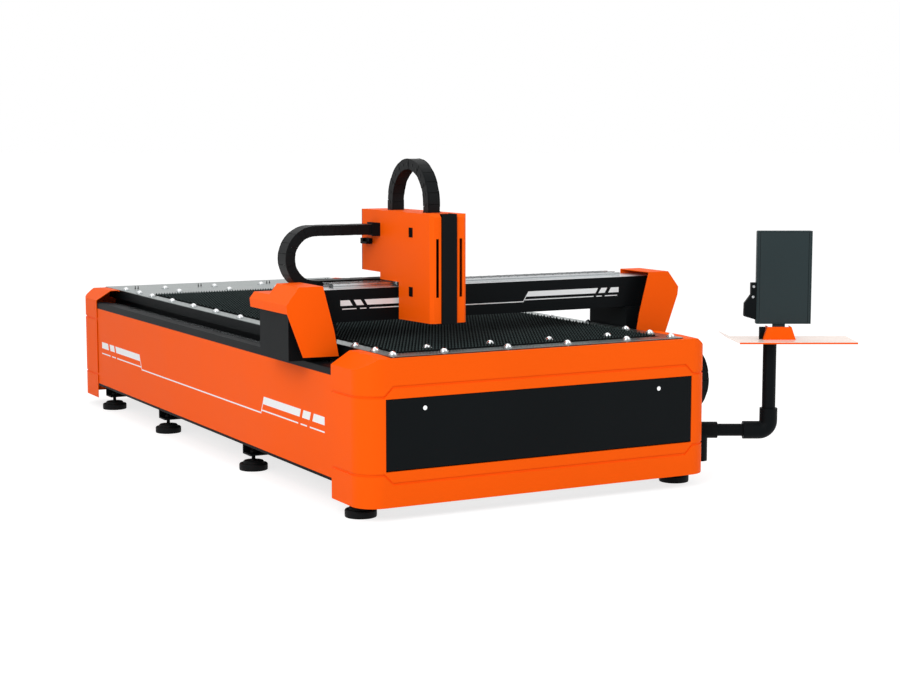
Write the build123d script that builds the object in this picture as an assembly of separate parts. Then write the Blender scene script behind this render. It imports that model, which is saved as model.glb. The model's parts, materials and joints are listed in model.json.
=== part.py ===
from build123d import *
import os
from math import cos, pi, radians, sin

# Flat-bed fiber laser cutting machine: a bed with a slat table, a gantry that
# runs along it, a carriage on the gantry, a cutting head that goes up and down,
# and an operator console on a swing arm.
# Millimetres. +X runs across the bed to the operator's right, +Y from the front
# to the rear, +Z up. The origin lies on the floor under the middle of the bed.

# Bed, overall
BED_LENGTH = 4900
BED_WIDTH = 2210
HALF_LENGTH = BED_LENGTH / 2
HALF_WIDTH = BED_WIDTH / 2
FRAME_BOTTOM = 172
TABLE_TOP = 866
SHEET = 3
SEAT_GAP = 0.3
RUN_GAP = 2

# Levelling feet
FOOT_PAD_RADIUS = 86
FOOT_PAD_HEIGHT = 40
FOOT_SOCKET_RADIUS = 62
FOOT_HEIGHT = 56
FOOT_STUD_RADIUS = 12
FOOT_NUT_RADIUS = 20
FOOT_NUT_HEIGHT = 16
FOOT_INSET = 95
FOOT_STATIONS = (220, 1720, BED_LENGTH - 1650, BED_LENGTH - 470)
FOOT_BRACKET_WIDTH = 120
FOOT_BRACKET_PLATE = 10
FOOT_BRACKET_FLOOR = 92
FOOT_BRACKET_INNER = 70
FOOT_BRACKET_OUTER = 45
FOOT_STUD_DROP = 16

# Welded frame
SIDE_BEAM_OUTER = HALF_WIDTH - 105
SIDE_BEAM_WIDTH = 130
SIDE_BEAM_INNER = SIDE_BEAM_OUTER - SIDE_BEAM_WIDTH
SIDE_BEAM_TOP = 748
FRAME_END_INSET = 120
FRAME_TUBE_WIDTH = 90
END_TUBE_DEPTH = 45
DRAWER_HEADROOM = 12
CROSS_MEMBER_STATIONS = (-1500, -750, 0, 750, 1500)
CROSS_MEMBER_HEIGHT = 100
CROSS_MEMBER_TOP = FRAME_BOTTOM + CROSS_MEMBER_HEIGHT

# End caps and side panels
CAP_WALL = 4
CAP_BOTTOM = 77
CAP_TOP = 858
CAP_DEPTH = 380
CAP_CORNER_RADIUS = 130
CAP_SIDE_TOP = 798
CAP_SHOULDER_TOP = TABLE_TOP
CAP_SHOULDER_BEVEL = 110
CAP_SHOULDER_WIDTH = 61
CAP_RIM = 30
CAP_SLOPE_LENGTH = 150
BEAD_WIDTH = 14
BEAD_DEPTH = 6
BEAD_UPPER = 660
BEAD_LOWER = 252
BEAD_STEP = 50
CAP_SLANT_SHARE = 0.4
CAP_STAY_INSET = 22
CAP_STAY_THICKNESS = 6
CAP_STAY_BOTTOM = 300
CAP_STAY_TOP = 620
PANEL_INSET = 7
PANEL_TOP = 738

# Front door, its hinge pins and its two cam locks
DOOR_SIDE_MARGIN = 140
DOOR_ABOVE_BEAD = 20
DOOR_BELOW_BEAD = 15
DOOR_HALF_WIDTH = HALF_WIDTH - DOOR_SIDE_MARGIN
DOOR_BOTTOM = BEAD_LOWER + DOOR_ABOVE_BEAD
DOOR_TOP = BEAD_UPPER - DOOR_BELOW_BEAD
DOOR_SHEET = 3
DOOR_SETBACK = 2
DOOR_FLANGE = 18
DOOR_GAP = 3
DOOR_GAP_BELOW = 6
DOOR_FRAME_LAP = 6
HINGE_PIN_RADIUS = 4
HINGE_PIN_LENGTH = 26
HINGE_RISE = 8
HINGE_SETBACK = 10
HINGE_PIN_SEAT = 0.05
LOCK_INSET = 225
LOCK_DROP = 55
LOCK_OFFSET = DOOR_HALF_WIDTH - LOCK_INSET
LOCK_HEIGHT = DOOR_TOP - LOCK_DROP
LOCK_HEAD_RADIUS = 12
LOCK_HEAD_DEPTH = 3
LOCK_BARREL_RADIUS = 9
LOCK_BARREL_LENGTH = 28
LOCK_REACH = 78
LOCK_CAM_SETBACK = 25
LOCK_CAM_THICKNESS = 3
LOCK_CAM_HALF_WIDTH = 9
LOCK_CAM_TIP_HALF = 7
LOCK_SLOT_WIDTH = 2
LOCK_SLOT_DEPTH = 1.8

# Slide way beside the table: cover, ledge, guide rail and rack
STRIP_OUTER = HALF_WIDTH - 180
STRIP_INNER = HALF_WIDTH - 265
STRIP_THICKNESS = 4
COVER_OUTER = STRIP_OUTER - 5
COVER_SKIRT = 798
COVER_WEB = 48
LEDGE_INNER = HALF_WIDTH - 83
LEDGE_TOP = 782
LEDGE_LIP = 16
LEDGE_FOLD = 8
RAIL_CENTRE = HALF_WIDTH - 155
RAIL_WIDTH = 23
RAIL_HEIGHT = 22
RAIL_WAIST = 3
BLOCK_WIDTH = 48
BLOCK_HEIGHT = 34
BLOCK_LENGTH = 84
RACK_INNER = HALF_WIDTH - 129
RACK_WIDTH = 12
RACK_HEIGHT = 24
SLIDE_WAY_START = 400

# Pinions
PINION_TEETH = 16
PINION_RADIUS = 16
PINION_ROOT = 13
PINION_FACE = 24
PINION_SHAFT_RADIUS = 7
MESH_GAP = 0.4

# Table plates, slats and ball transfer units
FRONT_PLATE_REAR = 135
REAR_PLATE_FRONT = BED_LENGTH - 850
SLAT_THICKNESS = 3
SLAT_BOTTOM = 755
SLAT_TIP = 880
SLAT_TOOTH_DEPTH = 18
SLAT_TEETH = 9
SLAT_PITCH = 75
SLAT_FIRST = 170
SLAT_END_CLEARANCE = 8
SLAT_HALF_LENGTH = STRIP_INNER - SLAT_END_CLEARANCE
LEDGE_ANGLE_WIDTH = 70
LEDGE_ANGLE_THICKNESS = 6
BALL_RADIUS = 19
BALL_CENTRE_DROP = 7
CUP_RADIUS = 27
CUP_HEIGHT = 9
BALL_ROW_EDGE = (STRIP_INNER + STRIP_OUTER) / 2
BALL_ROW_MIDDLE = 580
BALL_ROW_INNER = 190
BALL_FRONT_ROWS = (90, 300)
BALL_REAR_ROWS = (BED_LENGTH - 710, BED_LENGTH - 400)
BALL_SIDE_FIRST = 545
BALL_SIDE_LAST = BED_LENGTH - 990
BALL_SIDE_COUNT = 9
BALL_POST_RADIUS = 10
BALL_BAR_HEIGHT = 40
BALL_BAR_GAP = 4

# Slag drawers under the slats
DRAWER_HALF_WIDTH = 800
DRAWER_HEIGHT = 120
DRAWER_LENGTH = 1960
DRAWER_CENTRES = (-1010, 1010)

# Gantry, in its rest place near the front end of its travel
GANTRY_FRONT = 570
BEAM_FRONT = 670
BEAM_DEPTH = 200
BEAM_BOTTOM = 987
BEAM_TOP = 1168
BEAM_WALL = 10
BEAM_SKIN = 3
BEAM_SKIN_FOLD = 60
BEAM_SKIN_DROP = 4
BEAM_OVERHANG = 95
BEAM_HALF = HALF_WIDTH + BEAM_OVERHANG
END_INNER = HALF_WIDTH - 155
END_OUTER = HALF_WIDTH + 130
END_FRONT = 640
END_DEPTH = 400
END_TOP = 1052
END_WALL = 10
END_LIP = 30
FOOT_PLATE = 25
FOOT_PLATE_BOTTOM = SIDE_BEAM_TOP + 42
FOOT_PLATE_TOP = FOOT_PLATE_BOTTOM + FOOT_PLATE
HOUSING_SKIN = 4
HOUSING_TOP = 1195
HOUSING_RIDGE = 1100
HOUSING_HEM = 1052
HOUSING_LOW_TOP = 1136
HOUSING_HIGH_DEPTH = 304
HOUSING_DEPTH = 520
HOUSING_RIDGE_OUT = 170
HOUSING_SLOPE = 75
HOUSING_HEM_INSET = 5
HOUSING_TOP_INNER = HALF_WIDTH - 45
HOUSING_WAIST = HALF_WIDTH - 110
HOUSING_WAIST_HEIGHT = 950
HOUSING_FOOT_INNER = HALF_WIDTH - 135
HOUSING_FOOT_OUTER = HALF_WIDTH + 75
HOUSING_BOTTOM = 812
HOUSING_STAY_PLACE = 120
HOUSING_STAY_WIDTH = 30
HOUSING_STAY_THICKNESS = 6
Y_BLOCK_STATIONS = (715, 965)
GEARBOX_SIDE = 60
GEARBOX_HEIGHT = 60
MOTOR_SIDE = 80
MOTOR_HEIGHT = 95
MOTOR_CAP_SHARE = 0.3
MOTOR_CAP_INSET = 6
SHAFT_HOLE_GAP = 1

# Rails on the beam, cable tray and the carriage's cable chain
X_RAIL_INSET = 42
X_RAIL_REAR_INSET = 28
X_RAIL_END_GAP = 10
X_RACK_OFFSET = 95
TRAY_FRONT = 880
TRAY_INNER_WIDTH = 120
TRAY_SKIN = 2.5
TRAY_WALL_TOP = 1168
TRAY_FRONT_DROP = 8
TRAY_END_GAP = 50
CHAIN_WIDTH_X = 114
CHAIN_THICKNESS = 58
CHAIN_BEND_X = 153
CHAIN_LINK = 55
CHAIN_NOTCH = 5
CHAIN_NOTCH_DEPTH = 3
X_CHAIN_BOTTOM = 1140
X_CHAIN_BEND_PLACE = -960
X_CHAIN_FIXED_END = -200
X_CHAIN_CENTRE_Y = 943

# Gantry's cable chain, beside the bed on the right
Y_CHAIN_WIDTH = 100
Y_CHAIN_THICKNESS = 60
Y_CHAIN_BEND = 170
Y_CHAIN_BOTTOM = 385
Y_CHAIN_INNER = HALF_WIDTH + 12
Y_CHAIN_BEND_PLACE = 372
Y_CHAIN_MOVING_END = 850
Y_CHAIN_FIXED_END = 2010
TROUGH_FRONT = 280
TROUGH_HEIGHT = 42
TROUGH_SIDE_GAP = 4
TROUGH_TAIL = 60
TROUGH_STAY_SHARES = (0.12, 0.5, 0.95)
TROUGH_STAY_WIDTH = 40
CHAIN_STOP_THICKNESS = 8
CHAIN_BRACKET_WALL = 8
CHAIN_BRACKET_FOOT = 80

# Carriage, in its rest place left of the middle
CARRIAGE_X = -455
CARRIAGE_WIDTH = 220
CARRIAGE_LEFT = CARRIAGE_X - CARRIAGE_WIDTH / 2
CARRIAGE_RIGHT = CARRIAGE_X + CARRIAGE_WIDTH / 2
CARRIAGE_FRONT = 262
CARRIAGE_REAR = 1113
CARRIAGE_TOP = 1583
CARRIAGE_BOTTOM = 995
CARRIAGE_SKIN = 3
CARRIAGE_BEAM_GAP = 22
CARRIAGE_STEP_Y = 882
CARRIAGE_STEP_Z = 1234
CARRIAGE_CHAMFER = 18
CARRIAGE_SLOT_HALF = 49
CARRIAGE_PLATE = 20
CARRIAGE_REAR_DROP = 7
CARRIAGE_BACK_SHEET = 6
BASE_PLATE_RISE = 40
BASE_PLATE_BOTTOM = BEAM_TOP + BASE_PLATE_RISE
UPRIGHT_GAP = 25
UPRIGHT_DROP = 25
UPRIGHT_RISE = 20
GUSSET_RUN = 60
GUSSET_RISE = 90
X_BLOCK_SPACING = 120
X_BLOCK_LENGTH = 80
X_PINION_RISE = 2
Y_PINION_RISE = 4
X_BRACKET_REACH = 20
X_BRACKET_LAP = 8
X_BRACKET_EAR = 30
X_BRACKET_SHEET = 6
SWITCH_Y = 1020
SWITCH_BOTTOM = 1388
SWITCH_HEIGHT = 32
SWITCH_REACH = 38
SWITCH_HALF_LENGTH = 40
SWITCH_STEP_REACH = 16
SWITCH_STEP_LENGTH = 52
SWITCH_STEP_HEIGHT = 20
SIDE_HOLE_CENTRES = (1475, 1150)
SIDE_HOLE_Y = 503
SIDE_HOLE = (50, 54)
VENT_SLOT = (17, 315)
VENT_SLOT_CENTRE_Z = 1293
VENT_SLOT_OFFSET = 71
BAND_ROOM = 5
ARCH_ROOM = 8

# Lift of the cutting head
Z_RAIL_SPACING = 140
Z_RAIL_WIDTH = 15
Z_RAIL_DEPTH = 13
Z_PLATE_REAR = 594
Z_PLATE_THICKNESS = 18
Z_PLATE_MARGIN = 20
Z_PLATE_BOTTOM = 1120
Z_PLATE_TOP = 1330
Z_BLOCK_WIDTH = 38
Z_BLOCK_HEIGHT = 50
Z_BLOCK_INSET = 10
Z_BLOCK_GAP = 3
Z_ARM_WIDTH = 80
Z_ARM_THICKNESS = 25
Z_ARM_LOWER = Z_PLATE_BOTTOM + 60
Z_ARM_UPPER = Z_PLATE_BOTTOM + 170
Z_POST_WIDTH = 60
Z_POST_LAP = 20
Z_FOOT_WIDTH = 72
SCREW_RADIUS = 7
SCREW_Y = 612
SCREW_BOTTOM = 1035
SCREW_TOP = 1460
SCREW_END = 10
SCREW_COLLAR = 3
NUT_WIDTH = 40
NUT_HEIGHT = 45
BEARING_WIDTH = 60
BEARING_DEPTH = 14
BEARING_HEIGHT = 22
Z_MOTOR_SIDE = 60
Z_MOTOR_FRONT = 34
Z_MOTOR_LENGTH = 84
Z_MOTOR_BRACKET_WIDTH = 80
Z_MOTOR_BRACKET_HEIGHT = 12
HEAD_Y = 420
HEAD_BOTTOM = 975
HEAD_BODY_RADIUS = 30
HEAD_SHOULDER_RADIUS = 34
HEAD_FOCUS_RADIUS = 26
HEAD_CONE_RADIUS = 14
HEAD_TOP_RADIUS = 22
HEAD_CONE_RISE = 18
HEAD_FOCUS_BOTTOM = HEAD_BOTTOM + 60
HEAD_FOCUS_TOP = HEAD_BOTTOM + 95
HEAD_BODY_TOP = HEAD_BOTTOM + 395
HEAD_TOP = HEAD_BOTTOM + 465
HEAD_BEVEL = 15
HEAD_SEAT_GAP = 0.1
NOZZLE_RADIUS = 9
NOZZLE_TIP_RADIUS = 3.5
NOZZLE_BORE_RADIUS = 1.5
NOZZLE_CONE_HEIGHT = 8
NOZZLE_HEIGHT = 12
BAND_HALF = 45
BAND_FRONT = 250
BAND_DEPTH = 100
BAND_BOTTOM = 990
BAND_FOLD = 8
BAND_STAY_SETBACK = 70
BAND_STAY_RISE = 5
BAND_STAY_THICKNESS = 8
BAND_STAY_FOOT = 20

# Arched cable chain of the cutting head
ARCH_WIDTH = 75
ARCH_THICKNESS = 60
ARCH_BEND = 217
ARCH_CENTRE_Y = 683
ARCH_CENTRE_Z = 1628
ARCH_FOOT = 1535
ARCH_SEAT_THICKNESS = 8
ARCH_SEAT_FLANGE = 60
ARCH_POST_LAP = 4

# Operator console
ARM_PIVOT_X = HALF_WIDTH + 75
ARM_PIVOT_Y = 205
ARM_TURN = -28.4
ARM_REACH = 400
ARM_HEIGHT = 290
PIVOT_BOTTOM = 110
PIVOT_RADIUS = 45
PIVOT_PIN_RADIUS = 20
PIVOT_ARM_THICKNESS = 40
PIVOT_ARM_RISE = 30
PIVOT_ARM_DROP = 20
PIVOT_PAD_WIDTH = 120
PIVOT_PAD_THICKNESS = 8
PIVOT_PAD_DROP = 4
SLEEVE_RADIUS = 48
SLEEVE_LENGTH = 100
PIPE_RADIUS = 36
PIPE_SOCKET = 40
ELBOW_RADIUS = 52
ELBOW_BEND = 55
ELBOW_INLET = 94
ELBOW_OUTLET = 75
POLE_RISE = 15
POLE_RADIUS = 39
COLLAR_RADIUS = 52
COLLAR_HEIGHT = 24
SHELF_BOTTOM = 822
SHELF_SHEET = 3
SHELF_LEFT = -212
SHELF_FOLD = 64
SHELF_FOLD_RISE = 30
SHELF_HEM = 8
SHELF_HEM_INSET = 10
SHELF_RIGHT = 475
SHELF_FRONT = -170
SHELF_REAR = 150
STAND_SIDES = (-45, 143, -20, 117)
STAND_TOP = 900
STAND_DEPTH = 84
STAND_SHEET = 4
CLAMP_WIDTH = 30
CLAMP_REACH = 18
CLAMP_DROP = 4
TILT_HEIGHT = 880
TILT_PIN_RADIUS = 8
LUG_HALF_WIDTH = 35
LUG_HALF_DEPTH = 16
MONITOR_WIDTH = 318
MONITOR_HEIGHT = 540
MONITOR_DEPTH = 52
MONITOR_BOTTOM = 915
MONITOR_OFFSET = 72
MONITOR_CORNER = 8
SCREEN_BORDER = 8
SCREEN_THICKNESS = 3
HOLDER_BOTTOM = 24
HOLDER_TOP = 240
HOLDER_NECK = 170
HOLDER_WAIST = 120
HOLDER_FOOT = 45
HOLDER_UPPER_REACH = 32
HOLDER_LOWER_REACH = 70
HOLDER_FRONT = 24
HOLDER_REAR = 20


def from_front(distance):
    """Y of a place that is measured from the bed's front end."""
    return distance - HALF_LENGTH


def plate(x0, x1, y0, y1, z0, z1):
    """Rectangular piece between two opposite corners."""
    middle = Pos((x0 + x1) / 2, (y0 + y1) / 2, (z0 + z1) / 2)
    return middle * Box(x1 - x0, y1 - y0, z1 - z0)


def prism(points, reach):
    """Straight piece whose section is a polygon."""
    outline = Wire.make_polygon([Vector(*point) for point in points], close=True)
    return Solid.extrude(Face(outline), Vector(*reach))


def prism_x(points, x0, x1):
    """Piece along X from a section of (y, z) points."""
    return prism([(x0, y, z) for y, z in points], (x1 - x0, 0, 0))


def prism_y(points, y0, y1):
    """Piece along Y from a section of (x, z) points."""
    return prism([(x, y0, z) for x, z in points], (0, y1 - y0, 0))


def prism_z(points, z0, z1):
    """Piece along Z from a section of (x, y) points."""
    return prism([(x, y, z0) for x, y in points], (0, 0, z1 - z0))


def rod(start, direction, radius, length):
    """Round bar from a start point along a direction."""
    return Solid.make_cylinder(radius, length, Plane(origin=start, z_dir=direction))


def turned(profile, x, y):
    """Piece turned about a vertical axis from (radius, z) points."""
    outline = Wire.make_polygon([Vector(r, 0, z) for r, z in profile], close=True)
    return Pos(x, y, 0) * Solid.revolve(Face(outline), 360, Axis.Z)


def to_left(shape):
    """The same piece on the other side of the machine."""
    return mirror(shape, about=Plane.YZ)


def group(pieces):
    """Several separate solids kept as one sub-part."""
    return Compound([solid for piece in pieces for solid in piece.solids()])


def both_sides(piece):
    """A piece and its mirror image as one sub-part."""
    return group([piece, to_left(piece)])


# Levelling feet

def foot_places():
    """Centres of the eight levelling feet."""
    across = HALF_WIDTH - FOOT_INSET
    return [(side * across, from_front(station)) for station in FOOT_STATIONS for side in (-1, 1)]


def foot_pads():
    """Round pads with a raised socket for the stud."""
    profile = [
        (0, 0),
        (FOOT_PAD_RADIUS, 0),
        (FOOT_PAD_RADIUS, FOOT_PAD_HEIGHT),
        (FOOT_SOCKET_RADIUS, FOOT_PAD_HEIGHT),
        (FOOT_SOCKET_RADIUS, FOOT_HEIGHT),
        (0, FOOT_HEIGHT),
    ]
    return group([turned(profile, x, y) for x, y in foot_places()])


def foot_stud(x, y):
    """Threaded stud with the lock nut that clamps it on the bracket."""
    stud = rod((x, y, FOOT_HEIGHT), (0, 0, 1), FOOT_STUD_RADIUS, FRAME_BOTTOM - FOOT_HEIGHT - FOOT_STUD_DROP)
    corners = [radians(60 * turn) for turn in range(6)]
    outline = [(x + FOOT_NUT_RADIUS * cos(a), y + FOOT_NUT_RADIUS * sin(a)) for a in corners]
    nut_bottom = FOOT_BRACKET_FLOOR + FOOT_BRACKET_PLATE
    return stud + prism_z(outline, nut_bottom, nut_bottom + FOOT_NUT_HEIGHT)


def foot_studs():
    """All eight studs with their nuts."""
    return group([foot_stud(x, y) for x, y in foot_places()])


def levelling_feet():
    """Pads and studs of all eight feet."""
    return group([foot_pads(), foot_studs()])


def foot_bracket(x, y):
    """Bracket under the frame: top plate, rear web and a floor with the stud's hole."""
    half = FOOT_BRACKET_WIDTH / 2
    floor_top = FOOT_BRACKET_FLOOR + FOOT_BRACKET_PLATE
    section = [
        (y - half, FOOT_BRACKET_FLOOR),
        (y + half, FOOT_BRACKET_FLOOR),
        (y + half, FRAME_BOTTOM),
        (y - half, FRAME_BOTTOM),
        (y - half, FRAME_BOTTOM - FOOT_BRACKET_PLATE),
        (y + half - FOOT_BRACKET_PLATE, FRAME_BOTTOM - FOOT_BRACKET_PLATE),
        (y + half - FOOT_BRACKET_PLATE, floor_top),
        (y - half, floor_top),
    ]
    reach = 1 if x > 0 else -1
    ends = (x - reach * FOOT_BRACKET_INNER, x + reach * FOOT_BRACKET_OUTER)
    body = prism_x(section, min(ends), max(ends))
    hole = rod((x, y, FOOT_BRACKET_FLOOR - 1), (0, 0, 1), FOOT_STUD_RADIUS + SEAT_GAP, FOOT_BRACKET_PLATE + 2)
    return body - hole


def foot_brackets():
    """All eight foot brackets."""
    return group([foot_bracket(x, y) for x, y in foot_places()])


# Welded frame

def side_beam():
    """Closed plate-welded beam on the right."""
    end = HALF_LENGTH - FRAME_END_INSET
    return plate(SIDE_BEAM_INNER, SIDE_BEAM_OUTER, -end, end, FRAME_BOTTOM, SIDE_BEAM_TOP)


def cross_members():
    """Lower tubes between the side beams, which carry the slag drawers."""
    half = FRAME_TUBE_WIDTH / 2
    return group([
        plate(-SIDE_BEAM_INNER, SIDE_BEAM_INNER, y - half, y + half, FRAME_BOTTOM, CROSS_MEMBER_TOP)
        for y in CROSS_MEMBER_STATIONS
    ])


def end_frames():
    """Upper and lower tubes at both ends, with the drawer's way between them."""
    end = HALF_LENGTH - FRAME_END_INSET
    upper = DOOR_TOP + DRAWER_HEADROOM
    reach = SIDE_BEAM_INNER
    pieces = []
    for start in (-end, end - END_TUBE_DEPTH):
        stop = start + END_TUBE_DEPTH
        pieces.append(plate(-reach, reach, start, stop, upper, SIDE_BEAM_TOP))
        pieces.append(plate(-reach, reach, start, stop, FRAME_BOTTOM, CROSS_MEMBER_TOP))
    return group(pieces)


def bed_frame():
    """Welded frame: two side beams, the cross members and the end tubes."""
    return group([both_sides(side_beam()), cross_members(), end_frames()])


# End caps

def cap_outline(inset):
    """Plan of the front cap: straight front, two round corners, open to the rear."""
    x = HALF_WIDTH - inset
    front = from_front(inset)
    rear = from_front(CAP_DEPTH) + (1 if inset > 0 else 0)
    radius = CAP_CORNER_RADIUS - inset
    start = front + radius
    bow = radius * (1 - cos(pi / 4))
    corner = x - radius
    lines = [
        Line((-x, rear, 0), (-x, start, 0)),
        ThreePointArc((-x, start, 0), (-x + bow, front + bow, 0), (-corner, front, 0)),
        Line((-corner, front, 0), (corner, front, 0)),
        ThreePointArc((corner, front, 0), (x - bow, front + bow, 0), (x, start, 0)),
        Line((x, start, 0), (x, rear, 0)),
        Line((x, rear, 0), (-x, rear, 0)),
    ]
    return Wire([edge for line in lines for edge in line.edges()])


def cap_block(inset):
    """Solid form of the front cap, with every face moved inwards by the inset."""
    height = CAP_SHOULDER_TOP + 50
    plan = Solid.extrude(Face(cap_outline(inset)), Vector(0, 0, height))
    side = HALF_WIDTH - inset
    slant = inset * CAP_SLANT_SHARE
    bevel_start = CAP_SIDE_TOP - slant
    shoulder = CAP_SHOULDER_TOP - inset
    shoulder_outer = HALF_WIDTH - CAP_SHOULDER_BEVEL - slant
    shoulder_inner = HALF_WIDTH - CAP_SHOULDER_BEVEL - CAP_SHOULDER_WIDTH + inset
    top = CAP_TOP - inset
    bottom = CAP_BOTTOM - inset
    ramp = shoulder - top
    across = [
        (-side, bottom),
        (side, bottom),
        (side, bevel_start),
        (shoulder_outer, shoulder),
        (shoulder_inner, shoulder),
        (shoulder_inner - ramp, top),
        (-shoulder_inner + ramp, top),
        (-shoulder_inner, shoulder),
        (-shoulder_outer, shoulder),
        (-side, bevel_start),
    ]
    front = from_front(0)
    rear = from_front(CAP_DEPTH) + (1 if inset > 0 else 0)
    along = [
        (front - 1, bottom),
        (rear, bottom),
        (rear, shoulder),
        (front + CAP_SLOPE_LENGTH, shoulder),
        (front - 1, top),
    ]
    return plan & prism_y(across, front - 1, rear) & prism_x(along, -side, side)


def bead_ring(height, widen, deepen):
    """Part of a pressed bead that runs round the corners and along the sides."""
    half = BEAD_WIDTH / 2 + widen
    ring = Solid.extrude(Face(cap_outline(-1)), Vector(0, 0, 2 * half))
    core = Solid.extrude(Face(cap_outline(BEAD_DEPTH + deepen)), Vector(0, 0, 2 * half))
    ring = ring - Pos(0, 0.5, 0) * core
    middle = HALF_WIDTH - CAP_CORNER_RADIUS
    gap = plate(-middle, middle, -HALF_LENGTH - 2, from_front(CAP_DEPTH) + 2, -1, 2 * half + 1)
    return Pos(0, 0, height - half) * (ring - gap)


def bead_front(height, step, widen, deepen):
    """Part of a pressed bead that steps up or down and runs across the front."""
    half = BEAD_WIDTH / 2 + widen
    outer = HALF_WIDTH - CAP_CORNER_RADIUS + 2
    inner = outer - abs(step)
    middle = height + step
    outline = [
        (-outer, height - half),
        (-outer, height + half),
        (-inner, middle + half),
        (inner, middle + half),
        (outer, height + half),
        (outer, height - half),
        (inner, middle - half),
        (-inner, middle - half),
    ]
    return prism_y(outline, from_front(-1), from_front(BEAD_DEPTH + deepen))


def beads(widen, deepen):
    """Both pressed beads of a cap."""
    return [
        bead_ring(BEAD_UPPER, widen, deepen),
        bead_ring(BEAD_LOWER, widen, deepen),
        bead_front(BEAD_UPPER, BEAD_STEP, widen, deepen),
        bead_front(BEAD_LOWER, -BEAD_STEP, widen, deepen),
    ]


def cap_shell():
    """Sheet shell of a cap, open below and to the frame, with pressed beads."""
    outside = cap_block(0)
    inside = cap_block(CAP_WALL)
    for groove in beads(0, 0):
        outside = outside - groove
    for rib in beads(CAP_WALL, CAP_WALL):
        inside = inside - rib
    shell = outside - inside
    front = from_front(0)
    rear = from_front(CAP_DEPTH)
    half = STRIP_OUTER + SEAT_GAP
    low = CAP_TOP - CAP_WALL - 1
    table = plate(-half, half, from_front(CAP_RIM), rear + 1, low, CAP_SHOULDER_TOP + 1)
    shell = shell - table
    lips = both_sides(plate(half, half + CAP_WALL, front, rear, TABLE_TOP - CAP_WALL, CAP_SHOULDER_TOP))
    shell = shell + (lips & cap_block(0))
    stay_x = SIDE_BEAM_OUTER - CAP_STAY_INSET
    stays = both_sides(plate(
        stay_x, stay_x + CAP_STAY_THICKNESS,
        front + CAP_WALL - 1, from_front(FRAME_END_INSET),
        CAP_STAY_BOTTOM, CAP_STAY_TOP,
    ))
    return shell + stays


def front_cap():
    """Front cap with the door's opening and its inward flange."""
    half = DOOR_HALF_WIDTH + DOOR_GAP
    low = DOOR_BOTTOM - DOOR_GAP_BELOW
    high = DOOR_TOP + DOOR_GAP
    front = from_front(0)
    depth = DOOR_FLANGE + DOOR_FRAME_LAP
    opening = plate(-half, half, front - 1, front + depth + 1, low, high)
    frame = plate(
        -half - CAP_WALL, half + CAP_WALL,
        front + CAP_WALL, front + depth,
        low - CAP_WALL, high + CAP_WALL,
    )
    shell = cap_shell() + frame
    shell = shell - opening
    pin_z = DOOR_BOTTOM + HINGE_RISE
    pin_y = front + HINGE_SETBACK
    bore = rod((half - 1, pin_y, pin_z), (1, 0, 0), HINGE_PIN_RADIUS + HINGE_PIN_SEAT, CAP_WALL + 2)
    return shell - both_sides(bore)


def rear_cap():
    """Rear cap: the same shell turned to the rear, with a closed face."""
    return Rot(0, 0, 180) * cap_shell()


def side_panel():
    """Folded side panel on the right, flanged at the top and the bottom."""
    outer = HALF_WIDTH - PANEL_INSET
    inner = outer - SHEET
    end = HALF_LENGTH - CAP_DEPTH
    section = [
        (SIDE_BEAM_OUTER, FRAME_BOTTOM),
        (outer, FRAME_BOTTOM),
        (outer, PANEL_TOP),
        (SIDE_BEAM_OUTER, PANEL_TOP),
        (SIDE_BEAM_OUTER, PANEL_TOP - SHEET),
        (inner, PANEL_TOP - SHEET),
        (inner, FRAME_BOTTOM + SHEET),
        (SIDE_BEAM_OUTER, FRAME_BOTTOM + SHEET),
    ]
    return prism_y(section, -end, end)


def side_panels():
    """Both side panels."""
    return both_sides(side_panel())


# Front door

def front_door():
    """Door sheet with folded edges, lock holes and hinge bores."""
    front = from_front(DOOR_SETBACK)
    skin = plate(-DOOR_HALF_WIDTH, DOOR_HALF_WIDTH, front, front + DOOR_FLANGE, DOOR_BOTTOM, DOOR_TOP)
    hollow = plate(
        -DOOR_HALF_WIDTH + DOOR_SHEET, DOOR_HALF_WIDTH - DOOR_SHEET,
        front + DOOR_SHEET, front + DOOR_FLANGE + 1,
        DOOR_BOTTOM + DOOR_SHEET, DOOR_TOP - DOOR_SHEET,
    )
    door = skin - hollow
    for side in (-1, 1):
        hole = rod(
            (side * LOCK_OFFSET, front - 1, LOCK_HEIGHT), (0, 1, 0),
            LOCK_BARREL_RADIUS + SEAT_GAP, DOOR_SHEET + 2,
        )
        door = door - hole
    start = (DOOR_HALF_WIDTH - DOOR_SHEET - 1, from_front(HINGE_SETBACK), DOOR_BOTTOM + HINGE_RISE)
    bores = both_sides(rod(start, (1, 0, 0), HINGE_PIN_RADIUS + SEAT_GAP, DOOR_SHEET + 2))
    return door - bores


def door_hinge_pins():
    """Pins on which the door swings, held in the cap's flange."""
    start = DOOR_HALF_WIDTH + DOOR_GAP + CAP_WALL - HINGE_PIN_LENGTH
    place = (start, from_front(HINGE_SETBACK), DOOR_BOTTOM + HINGE_RISE)
    return both_sides(rod(place, (1, 0, 0), HINGE_PIN_RADIUS, HINGE_PIN_LENGTH))


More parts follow.
